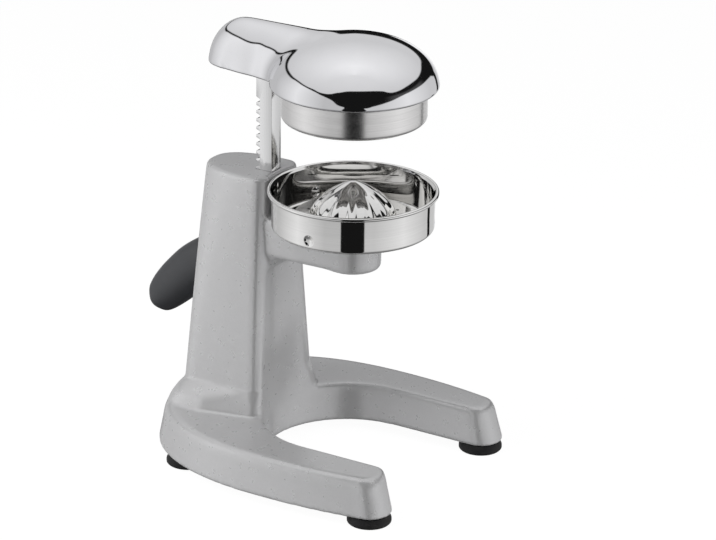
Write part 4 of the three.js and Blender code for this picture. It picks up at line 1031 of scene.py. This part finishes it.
turns = np.linspace(0, 2 * np.pi, 720, endpoint=False)
tilts = np.concatenate([np.linspace(0, 60, 110), np.linspace(60, 90, 40)[1:-1]])
tilts = np.radians(tilts)[:, None]
directions = np.stack([
    np.cos(tilts) * np.cos(turns)[None, :],
    np.cos(tilts) * np.sin(turns)[None, :],
    np.repeat(np.sin(tilts), len(turns), axis=1),
], axis=-1)
head_rows = head_reach(directions)
top_spot = head_reach(np.array([[0.0, 0.0, 1.0]]))[0]
print("head top in mm", round(float(head_rows[..., 2].max()), 2))
print("head back in mm", round(float(head_rows[..., 1].max()), 2))

# %% The rim below, and the head as one mesh
foot_row = head_rows[0]
foot_line = foot_row[:, :2]
on_lobe = np.clip((foot_line[:, 1] - 50.0) / 12.0, 0, 1)
lip_depth = 6.0 + (1.6 - 6.0) * on_lobe
lip_low = head_lip + (lobe_under - head_lip) * on_lobe
lip_start = dome_foot + (lobe_under + 1.6 - dome_foot) * on_lobe
lip_rows = []
for angle in np.linspace(0, np.pi / 2, 9):
    ring = inset(foot_line, lip_depth * (1 - math.cos(angle)))
    height = lip_start + (lip_low - lip_start) * math.sin(angle)
    lip_rows.append(np.column_stack([ring, height]))
rows = np.array([*lip_rows[::-1], *head_rows])
count, size = rows.shape[:2]
points = np.vstack([rows.reshape(-1, 3), [0.0, 42.0, head_lip + 0.2], top_spot])
faces = row_faces(count, size)
last = (count - 1) * size
for i in range(size):
    after = (i + 1) % size
    faces.append([count * size, after, i])
    faces.append([count * size + 1, last + i, last + after])
head = make_piece("chromed_head", points, faces)
lip_metres = (lobe_wall_top + 0.3) / 1000


def above_the_lip(where):
    return np.clip((where[:, 2] - lip_metres) / 0.004, 0, 1)


soften(head, 60, 0.6, above_the_lip)

# %% The hollows of the head
def dome_line(radius, height, steps=24):
    angle = np.linspace(0, np.pi / 2, steps + 1)
    reach = radius * np.clip(np.cos(angle), 0, 1) ** (2 / dome_power)
    reach[-1] = 0
    return np.column_stack([reach, dome_foot + height * np.sin(angle) ** (2 / dome_power)])


bell_radius = 53.5
bell_crown = dome_foot + 18.5
boss_foot = bell_crown + sheet + 0.3
dome_hollow = turned("dome_hollow", [
    (0, head_lip - 3), (bell_radius + 0.3, head_lip - 3), (bell_radius + 0.3, dome_foot),
    *dome_line(dome_radius - 3.4, dome_height - 3.4)[1:].tolist(),
], 160)
combine(dome_hollow, post("bell_boss", 9.0, boss_foot, 400, 64))
rack_top = rack_box[1][2]
boss_back = rack_box[1][1] + slide + 4.0


def lobe_level(skin, share, height):
    line = inset(mirrored(np.vstack([[[0, lobe_front]], evenly(lobe_line, 1.5)])), skin)
    x = line[:, 0] * (1 - share)
    y = np.where(line[:, 1] > ridge_end, line[:, 1] + (ridge_end - line[:, 1]) * share, line[:, 1])
    return np.column_stack([x, y, np.full(len(x), height)])


skin = 3.6
lobe_levels = [lobe_level(skin, 0, lobe_under - 2), lobe_level(skin, 0, lobe_wall_top)]
for angle in np.linspace(0, np.pi / 2, 14)[1:]:
    inwards = min(1 - math.cos(angle), 0.97)
    lobe_levels.append(lobe_level(skin, inwards, lobe_wall_top + (lobe_crown - skin) * math.sin(angle)))
lobe_hollow = loft("lobe_hollow", lobe_levels)
combine(lobe_hollow, block("front_part", (-80, -80, 200), (80, dome_radius, 400)))
combine(lobe_hollow, block("rack_boss", (-10.5, 50, 200), (10.5, boss_back, 400)))
combine(head, dome_hollow)
combine(head, lobe_hollow)
combine(head, block(
    "pocket", (rack_box[0][0] - slide, rack_front - slide, lobe_under - 5),
    (rack_box[1][0] + slide, rack_box[1][1] + slide, rack_top + 0.3),
))
rack_screw_boxes = [node_box("rack_screw_1"), node_box("rack_screw_2")]
rack_screw_heights = [(low[2] + high[2]) / 2 for low, high in rack_screw_boxes]
for height in rack_screw_heights:
    combine(head, post("screw_hole", 2.4, rack_box[1][1] - 1, boss_back + 2, 24, "Y", (0, height)))
combine(head, post("bell_hole", 3.4, boss_foot - 2, node_box("bell_screw")[1][2] + 0.4, 24))
shade(head, math.radians(35))
dress(head, "head")

# %% [markdown]
# ## The pressing bell
# The bell hangs in the dome and does the pressing. It is one pressed sheet with a rolled lip and a
# shallow crown inside, held by a washer and a screw.

# %% Bell, washer and screw
bell_lip = dome_foot - 26.3
lip_radius = 3.4
bell_line = [(bell_radius, dome_foot - 1.0)]
bell_line += [(bell_radius, height) for height in np.linspace(dome_foot - 3.0, bell_lip + 5.0, 6)]
bell_line += arc(bell_radius - lip_radius, bell_lip + lip_radius, lip_radius, 0, -180, 18).tolist()
inner_radius = bell_radius - 2 * lip_radius
for share in np.linspace(0, 1, 26)[1:]:
    rise = (1 - (1 - share) ** 1.7) ** (1 / 1.7)
    bell_line.append((inner_radius + (14.0 - inner_radius) * share,
                      bell_lip + lip_radius + (bell_crown - bell_lip - lip_radius) * rise))
bell_line.append((3.3, bell_crown))
bell_line = np.array(bell_line)
before = np.vstack([bell_line[:1], bell_line[:-1]])
after = np.vstack([bell_line[1:], bell_line[-1:]])
along = (after - before) / np.linalg.norm(after - before, axis=1)[:, None]
back = bell_line + np.column_stack([along[:, 1], -along[:, 0]]) * sheet
bell = turned("pressing_bell", [*bell_line, *back[::-1], bell_line[0]], 240)
dress(bell, "press_bell")

washer_low, washer_high = node_box("bell_washer")
washer = turned("crown_washer", eased([
    (3.3, washer_low[2]), (10.0, washer_low[2]), (10.0, washer_high[2]), (3.3, washer_high[2]),
    (3.3, washer_low[2]),
], 0.25), 72)
dress(washer, "bell_washer")
screw_high = node_box("bell_screw")[1]
seat = washer_low[2] - 0.3
screw = turned("crown_screw", [
    (0, seat - 3.0), (3.6, seat - 2.9), (5.0, seat - 2.2), (5.8, seat - 1.2), (6.0, seat - 0.2),
    (5.9, seat), (3.0, seat), (3.0, screw_high[2] - 0.5), (2.5, screw_high[2]), (0, screw_high[2]),
], 60)
combine(screw, cross_recess("cross", 0, 0, seat - 4, seat - 1.5, 3.0))
dress(screw, "bell_screw")

# %% [markdown]
# ## The rack and the other milled pieces
# The rack, the stop plate, the pinion and the axle are milled, so their faces are flat and their edges
# are only broken a little. The frame's own meshes already have these shapes. They are copied, their
# triangles are merged into flat faces, and a narrow bevel breaks the edges that catch the light.

# %% Copies with broken edges
def milled(node, name, width_mm, angle=40):
    source = frame["nodes"][node]
    mesh = source.data.copy()
    mesh.name = name
    mesh.transform(source.matrix_world)
    work = bmesh.new()
    work.from_mesh(mesh)
    bmesh.ops.remove_doubles(work, verts=work.verts, dist=1e-5)
    limit = math.radians(1.5)
    bmesh.ops.dissolve_limit(work, angle_limit=limit, verts=work.verts, edges=work.edges)
    bmesh.ops.recalc_face_normals(work, faces=work.faces)
    work.to_mesh(mesh)
    work.free()
    piece = bpy.data.objects.new(name, mesh)
    bpy.context.scene.collection.objects.link(piece)
    bevel = piece.modifiers.new("broken edges", "BEVEL")
    bevel.width = width_mm / 1000
    bevel.segments = 2
    bevel.limit_method = "ANGLE"
    bevel.angle_limit = math.radians(angle)
    bevel.use_clamp_overlap = True
    apply_modifiers(piece)
    shade(piece, math.radians(30))
    dress(piece, node)


milled("rack", "toothed_rack", 0.3)
milled("rack_stop_plate", "stop_plate", 0.25)
milled("pinion", "rack_pinion", 0.2, 28)
milled("axle", "lever_axle", 0.3)
milled("axle_bush_inner", "inner_bush", 0.2, 50)

# %% Small turned pieces
rack_middle = (rack_front + rack_pitch_y - 1.8) / 2
stop_low, stop_high = node_box("rack_stop_screw")
stop_seat = node_box("rack_stop_plate")[0][2] - 0.3
stop_screw = turned("stop_screw", [
    (0, stop_low[2]), (3.3, stop_low[2]), (3.6, stop_low[2] + 0.3), (3.6, stop_seat), (2.0, stop_seat),
    (2.0, stop_high[2] - 0.4), (1.6, stop_high[2]), (0, stop_high[2]),
], 40, at=(0, rack_middle))
combine(stop_screw, cross_recess("cross", 0, rack_middle, stop_low[2] - 1, stop_low[2] + 1.0, 2.0))
dress(stop_screw, "rack_stop_screw")
seat = boss_back + 0.3
for i, height in enumerate(rack_screw_heights):
    screw = turned("head_screw_" + str(i + 1), [
        (0, seat - 12), (1.6, seat - 12), (2.0, seat - 11.6), (2.0, seat), (3.6, seat),
        (3.6, seat + 3.6), (3.2, seat + 4), (0, seat + 4),
    ], 40, "Y", (0, height))
    combine(screw, post("socket", 1.9, seat + 2, seat + 6, 6, "Y", (0, height)))
    dress(screw, "rack_screw_" + str(i + 1))
pin_low, pin_high = node_box("pinion_pin")
pin_x = (pin_low[0] + pin_high[0]) / 2
pin = turned("cross_pin", [
    (0, pin_low[1]), (1.7, pin_low[1]), (2.0, pin_low[1] + 0.3), (2.0, pin_high[1] - 0.3),
    (1.7, pin_high[1]), (0, pin_high[1]),
], 32, "Y", (pin_x, axle_z))
dress(pin, "pinion_pin")

# %% Pieces along the axle
bush_low, bush_high = node_box("axle_bush_outer")
outer_bush = turned("outer_bush", eased([
    (6.3, bush_low[0]), (8.5, bush_low[0]), (8.5, far_pad + 0.3), (11.5, far_pad + 0.3),
    (11.5, bush_high[0]), (6.3, bush_high[0]), (6.3, bush_low[0]),
], 0.3), 72, "X", (axle_y, axle_z))
dress(outer_bush, "axle_bush_outer")
ring_low, ring_high = node_box("lever_washer")
lever_washer = turned("hub_washer", eased([
    (2.8, ring_low[0]), (8.5, ring_low[0]), (8.5, ring_high[0]), (2.8, ring_high[0]), (2.8, ring_low[0]),
], 0.3), 72, "X", (axle_y, axle_z))
dress(lever_washer, "lever_washer")
head_low, head_high = node_box("lever_screw")
head_seat = head_high[0] - 4.4
lever_screw = turned("hub_screw", [
    (0, head_low[0]), (2.1, head_low[0]), (2.5, head_low[0] + 0.4), (2.5, head_seat), (4.6, head_seat),
    (4.6, head_high[0] - 0.6), (4.0, head_high[0]), (0, head_high[0]),
], 60, "X", (axle_y, axle_z))
combine(lever_screw, post("socket", 2.4, head_high[0] - 2.2, head_high[0] + 2, 6, "X", (axle_y, axle_z)))
dress(lever_screw, "lever_screw")

# %% [markdown]
# ## The lever and its grip
# The lever is a forged rod that bends outwards from its hub, so that the hand clears the column. It
# is made standing up from the axle and then swung down to its rest, as a fitter would. A swept curve
# and a turned hub are joined, and a fine remesh lets them flow into each other before plating. The
# grip is a loft: each row of its table holds a place along it, its width, its thickness and how far it
# leans, all as shares, and a smooth curve runs through the rows.

# %% Swinging a standing piece down to the lever's rest
rest_turn = math.radians(-39.9 - 90)


def swung(points):
    points = np.array(points, dtype=float)
    y = points[..., 1] * math.cos(rest_turn) - points[..., 2] * math.sin(rest_turn)
    z = points[..., 1] * math.sin(rest_turn) + points[..., 2] * math.cos(rest_turn)
    return np.stack([points[..., 0], axle_y + y, axle_z + z], axis=-1)


hub_inner = far_pad + 0.3 + 1.5 + 0.3
hub_outer = hub_inner + 14.0
hub_middle = (hub_inner + hub_outer) / 2
side_x = 78.0
rod_radius = 6.0
bend_start = 18.0
bend_middle = 38.0
bend_end = 58.0
share = np.linspace(0, 1, 60)[:, None]
bend = (
    (1 - share) ** 3 * np.array([hub_middle, bend_start])
    + 3 * share * (1 - share) ** 2 * np.array([hub_middle, bend_middle])
    + 3 * share ** 2 * (1 - share) * np.array([side_x, bend_middle])
    + share ** 3 * np.array([side_x, bend_end])
)
path = np.vstack([[[hub_middle, 5.0], [hub_middle, 12.0]], bend, [[side_x, 90.0], [side_x, 124.0]]])
heading = np.gradient(path, axis=0)
heading /= np.linalg.norm(heading, axis=1)[:, None]
around = np.linspace(0, 2 * np.pi, 40, endpoint=False)
rod_rows = []
for spot, way in zip(path, heading):
    rod_rows.append(np.column_stack([
        spot[0] + rod_radius * np.cos(around) * way[1],
        rod_radius * np.sin(around),
        spot[1] - rod_radius * np.cos(around) * way[0],
    ]))
lever = loft("forged_lever", swung(rod_rows))
hub = turned("hub", eased([
    (0.0, hub_inner), (14.0, hub_inner), (14.0, hub_outer), (0.0, hub_outer),
], 1.4, 6), 120, "X", (axle_y, axle_z))
combine(lever, hub, "UNION")
remesh(lever, 0.7)
soften(lever, 5)
flat_half = 6.0 * math.sqrt(0.5) + 0.3
combine(lever, block(
    "square", (hub_inner - 2, axle_y - flat_half, axle_z - flat_half),
    (hub_outer + 2, axle_y + flat_half, axle_z + flat_half),
))
shade(lever, math.radians(45))
dress(lever, "lever_arm")

# %% Grip
grip_start = 62.0
grip_end = 179.5
grip_half_width = 18.7
grip_half_thickness = 11.0
grip_lean = 3.6
grip_table = np.array([
    [0, 0.5, 0.72, 0], [0.04, 0.56, 0.8, 0.05], [0.16, 0.74, 0.92, 0.4], [0.34, 0.93, 1, 0.88],
    [0.52, 1, 1, 1], [0.7, 0.952, 0.94, 0.71], [0.83, 0.855, 0.85, 0.36], [0.92, 0.698, 0.8, 0.07],
    [0.97, 0.415, 0.54, 0], [1, 0.08, 0.1, -0.04],
])
near_tip = 1 - 0.1 * (1 - np.linspace(0, 1, 26)[1:]) ** 2
places = np.concatenate([[0, 0.0015, 0.005, 0.01], np.linspace(0.02, 0.9, 60), near_tip])
around = np.linspace(0, 2 * np.pi, 72, endpoint=False)
grip_rows = []
for place in places:
    width = math.sqrt(smooth_curve(grip_table[:, 0], grip_table[:, 1] ** 2, place))
    thick = math.sqrt(smooth_curve(grip_table[:, 0], grip_table[:, 2] ** 2, place))
    lean = float(smooth_curve(grip_table[:, 0], grip_table[:, 3], place))
    ease = 1 - 0.09 * max(0.0, 1 - place / 0.01) ** 2
    grip_rows.append(np.column_stack([
        side_x + grip_half_thickness * thick * ease * np.cos(around),
        grip_half_width * width * ease * np.sin(around) - grip_lean * lean,
        np.full_like(around, grip_start + (grip_end - grip_start) * place),
    ]))
grip = loft("moulded_grip", swung(grip_rows))
bore_rows = [
    np.column_stack([side_x + 6.3 * np.cos(around), 6.3 * np.sin(around), np.full_like(around, z)])
    for z in (grip_start - 2.0, 124.3)
]
combine(grip, loft("bore", swung(bore_rows)))
dress(grip, "lever_grip")
print("nodes left plain", sorted(set(node_slot) - set(dressed)))

# %% [markdown]
# ## The camera
# The camera stands where the photographer's did: its direction, distance and focal length were solved
# from the press in the photograph. It is aimed by three axes of its own, not by a constraint, so that
# nothing moves it later.

# %% Camera
azimuth = math.radians(-58.017)
elevation = math.radians(21.271)
roll = math.radians(0.688)
camera_distance = 2.7012


def towards(heading, height):
    """The direction at a heading and a height above the table, both in radians."""
    flat = math.cos(height)
    return Vector((math.sin(heading) * flat, -math.cos(heading) * flat, math.sin(height)))


away = towards(azimuth, elevation)
level_right = Vector((math.cos(azimuth), math.sin(azimuth), 0))
level_up = away.cross(level_right)
camera_right = level_right * math.cos(roll) + level_up * math.sin(roll)
camera_up = level_up * math.cos(roll) - level_right * math.sin(roll)
target = Vector((-0.140395, -0.169572, 0.221937))
camera_data = bpy.data.cameras.new("camera")
camera_data.lens = 196.256
camera_data.sensor_width = 36
camera_data.sensor_fit = "HORIZONTAL"
camera_data.clip_start = 0.1
camera_data.clip_end = 50
camera = bpy.data.objects.new("camera", camera_data)
axes = Matrix((camera_right, camera_up, away)).transposed()
camera.matrix_world = Matrix.Translation(target + away * camera_distance) @ axes.to_4x4()
bpy.context.scene.collection.objects.link(camera)
bpy.context.scene.camera = camera
print("camera at", [round(value, 3) for value in camera.location])

# %% [markdown]
# ## The studio that the chrome mirrors
# Polished metal shows only what stands round it: a wide soft light above, pale walls below it, and
# the dark room in the gaps between them. Real panels round the press would work too, but they would
# also light it. So the studio is drawn in the world, for reflections alone. The lower edge of the light
# and the upper edge of the walls are curves through a few heights round the press, and three cards
# brighten the walls. Headings count from the camera, to its right. All of it is set to put the bands
# where the photograph shows them, so it holds best for this camera. To the camera the world is white.

# %% The world
world = bpy.data.worlds.new("studio")
bpy.context.scene.world = world
world.use_nodes = True
tree = world.node_tree
tree.nodes.clear()
direction = add_node(tree, "ShaderNodeTexCoord").outputs["Generated"]
turned_way = add_node(tree, "ShaderNodeVectorRotate", {
    "Vector": direction, "Angle": -azimuth,
}, rotation_type="Z_AXIS")
parts = add_node(tree, "ShaderNodeSeparateXYZ", {0: turned_way.outputs[0]}).outputs
heading_angle = maths(tree, "ARCTAN2", parts[0], maths(tree, "MULTIPLY", parts[1], -1.0))
heading_degrees = maths(tree, "MULTIPLY", heading_angle, 180 / math.pi)
height_degrees = maths(tree, "MULTIPLY", maths(tree, "ARCSINE", parts[2]), 180 / math.pi)


def by_heading(pairs, low, high):
    """A value for each heading in degrees, on a smooth curve through pairs."""
    place = ranged(tree, heading_degrees, 0, 1, -180, 180)
    curve = add_node(tree, "ShaderNodeFloatCurve", {"Value": place})
    line = curve.mapping.curves[0]
    spots = [((heading + 180) / 360, (value - low) / (high - low)) for heading, value in pairs]
    while len(line.points) < len(spots):
        line.points.new(0.5, 0.5)
    for point, spot in zip(line.points, spots):
        point.location = spot
        point.handle_type = "AUTO_CLAMPED"
    curve.mapping.update()
    return ranged(tree, curve.outputs[0], low, high)


def step_up(value, edge, soft):
    """0 below an edge and 1 above it, with a soft change."""
    rise = maths(tree, "SUBTRACT", value, edge)
    return add_node(tree, "ShaderNodeMapRange", {
        "Value": rise, "From Min": -soft, "From Max": soft,
    }, interpolation_type="SMOOTHSTEP").outputs["Result"]


def flipped(value):
    return maths(tree, "SUBTRACT", 1.0, value)


def both(first, second):
    return maths(tree, "MULTIPLY", first, second)


def band(value, low, high, low_soft=0.7, high_soft=0.7):
    """1 between two edges and 0 outside them."""
    return both(step_up(value, low, low_soft), flipped(step_up(value, high, high_soft)))


light_edge = by_heading([
    (-180, 9), (-160, 17.5), (-140, 23), (-115, 30), (-90, 34), (-68, 34), (-48, 30.5), (-25, 40.5),
    (0, 48), (25, 46.5), (45, 41), (65, 29.5), (90, 31), (115, 28), (140, 23), (155, 16), (180, 9),
], 0, 60)
wall_edge = by_heading([
    (-180, 11), (-160, 13.5), (-140, 19.5), (-115, 26), (-90, 31), (-68, 30), (-48, 24), (-32, 16.5),
    (-13, 2), (12, -1.5), (25, 4), (50, 10.5), (85, 16.5), (115, 13.5), (135, 7.5), (150, -1), (167, 0),
    (180, -13),
], -20, 40)


def panel(heading, half_width, strength):
    """A softly lit card on the wall, brightest at its own heading."""
    off = maths(tree, "ABSOLUTE", maths(tree, "SUBTRACT", heading_degrees, heading))
    return ranged(tree, off, strength, 0.0, 0.0, half_width)


wall_shade = ranged(tree, heading_degrees, 0.54, 0.61, -20.0, 25.0)
for card in (panel(-84.0, 44.0, 0.32), panel(76.0, 46.0, 0.24), panel(172.0, 14.0, 0.38)):
    wall_shade = maths(tree, "ADD", wall_shade, card)

# %% Light, walls and the dark gaps between them
overhead = step_up(height_degrees, light_edge, 1.1)
below_edge = flipped(step_up(height_degrees, wall_edge, 1.1))
low_share = ranged(tree, height_degrees, 1.29, 1.0, -21, -2)
strip_heading = maths(tree, "DIVIDE", heading_degrees, low_share)
front_strip = band(strip_heading, -13.0, 12.7)
side_strip = both(band(heading_degrees, 143.5, 151.5, 0.8, 1.0), step_up(height_degrees, -17.0, 1.5))
low_strip = both(band(heading_degrees, 129.5, 137.5), flipped(step_up(height_degrees, -17.5, 1.0)))
rear_left = ranged(tree, height_degrees, -158.0, -175.2, -22, 2)
rear_left_strip = flipped(step_up(heading_degrees, rear_left, 0.7))
rear_strip = maths(tree, "ADD", step_up(heading_degrees, 176.5, 0.7), rear_left_strip)
open_wall = flipped(front_strip)
for strip in (side_strip, low_strip, rear_strip):
    open_wall = both(open_wall, flipped(strip))
walls = both(both(below_edge, open_wall), wall_shade)
behind_share = ranged(tree, maths(tree, "ABSOLUTE", heading_degrees), 0, 1, 60, 175)
sky_low = ranged(tree, height_degrees, 0.635, 0.78, 25, 85)
from_overhead = maths(tree, "ABSOLUTE", maths(tree, "SUBTRACT", height_degrees, 70.0))
sky_back = ranged(tree, from_overhead, 0.2, 0.0, 0, 45)
sky = maths(tree, "ADD", sky_low, both(sky_back, behind_share))
dim = band(heading_degrees, 52.0, 112.0, 12.0, 8.0)
dim = both(dim, flipped(step_up(height_degrees, 21.5, 2.5)))
dark = maths(tree, "ADD", 0.008, both(dim, 0.06))
from_below = ranged(tree, height_degrees, 0.25, 1.0, -50, -19)
walls = both(walls, from_below)
seen = maths(tree, "ADD", both(overhead, sky), walls)
seen = maths(tree, "MAXIMUM", seen, dark)
print("edges, strips and cards drawn")

# %% What each kind of ray meets
fill_strength = 0.14
path_kind = add_node(tree, "ShaderNodeLightPath").outputs
mirror_ray = maths(tree, "MAXIMUM", path_kind["Is Glossy Ray"], path_kind["Is Transmission Ray"])


def glowing(colour, strength):
    return add_node(tree, "ShaderNodeBackground", {"Color": colour, "Strength": strength}).outputs[0]


def chosen(share, first, second):
    return add_node(tree, "ShaderNodeMixShader", {0: share, 1: first, 2: second}).outputs[0]


around_it = chosen(mirror_ray, glowing(grey(1.0), fill_strength), glowing((0.99, 0.99, 1.0, 1), seen))
studio = chosen(path_kind["Is Camera Ray"], around_it, glowing(grey(1.0), 1.0))
add_node(tree, "ShaderNodeOutputWorld", {"Surface": studio})
print("studio nodes", len(tree.nodes))

# %% [markdown]
# ## The floor
# The press stands on a plain white sweep that is lit until it is nearly white. A large plane does for
# it. To the camera it is mostly its own light, with a little of the real one left, so that only the
# press's soft shadow shows.

# %% Floor
floor_points = [(-4.0, -4.0, 0.0), (4.0, -4.0, 0.0), (4.0, 4.0, 0.0), (-4.0, 4.0, 0.0)]
floor = make_piece("floor", floor_points, [[0, 1, 2, 3]], placed=False)
floor.location.z = -0.0002
paper, tree, shader = new_finish("paper_sweep", Roughness=0.9, Specular_IOR_Level=0.1)
grain = noise(tree, 300.0, 3.0)
tree.links.new(mixed(tree, grain, grey(0.86), grey(0.9)), shader.inputs["Base Color"])
glow = add_node(tree, "ShaderNodeEmission", {"Color": grey(1.0), "Strength": 1.1}).outputs[0]
camera_ray = add_node(tree, "ShaderNodeLightPath").outputs["Is Camera Ray"]
share = maths(tree, "MULTIPLY", camera_ray, 0.87)
output = tree.nodes["Material Output"]
shown = add_node(tree, "ShaderNodeMixShader", {0: share, 1: shader.outputs[0], 2: glow}).outputs[0]
tree.links.new(shown, output.inputs["Surface"])
floor.data.materials.append(paper)
floor.visible_glossy = False

# %% [markdown]
# ## The lamps
# Two soft lamps stand to the camera's left, a low one close by for the column's broad side and a high
# one for the tops. Two more stand to its right, one high and one low, for the front and the legs. One
# strong lamp would do, but it would leave the sides away from it black. All four are left out of the
# reflections, which the world already gives.

# %% Lamps
def soft_lamp(name, heading, height, distance, size, power):
    """An area lamp at a heading from the camera's, to its right, and a height, both in degrees."""
    offset = towards(azimuth + math.radians(heading), math.radians(height)) * distance
    data = bpy.data.lights.new(name, "AREA")
    data.shape = "SQUARE"
    data.size = size
    data.energy = power
    lamp = bpy.data.objects.new(name, data)
    lamp.location = Vector((0, 0, 0.15)) + offset
    lamp.rotation_euler = offset.to_track_quat("Z", "Y").to_euler()
    lamp.visible_glossy = False
    bpy.context.scene.collection.objects.link(lamp)
    print(name, "at", [round(value, 2) for value in lamp.location])


soft_lamp("left_lamp", -80, 18, 1.0, 0.6, 4.7)
soft_lamp("high_left_lamp", -60, 48, 1.6, 0.9, 5.2)
soft_lamp("high_right_lamp", 40, 45, 1.6, 0.9, 4.0)
soft_lamp("low_right_lamp", 58, 15, 1.6, 0.9, 7.6)

# %% [markdown]
# ## The finished scene
# The picture keeps the colours as they are, with no film look.

# %% Finish
bpy.context.scene.view_settings.view_transform = "Standard"
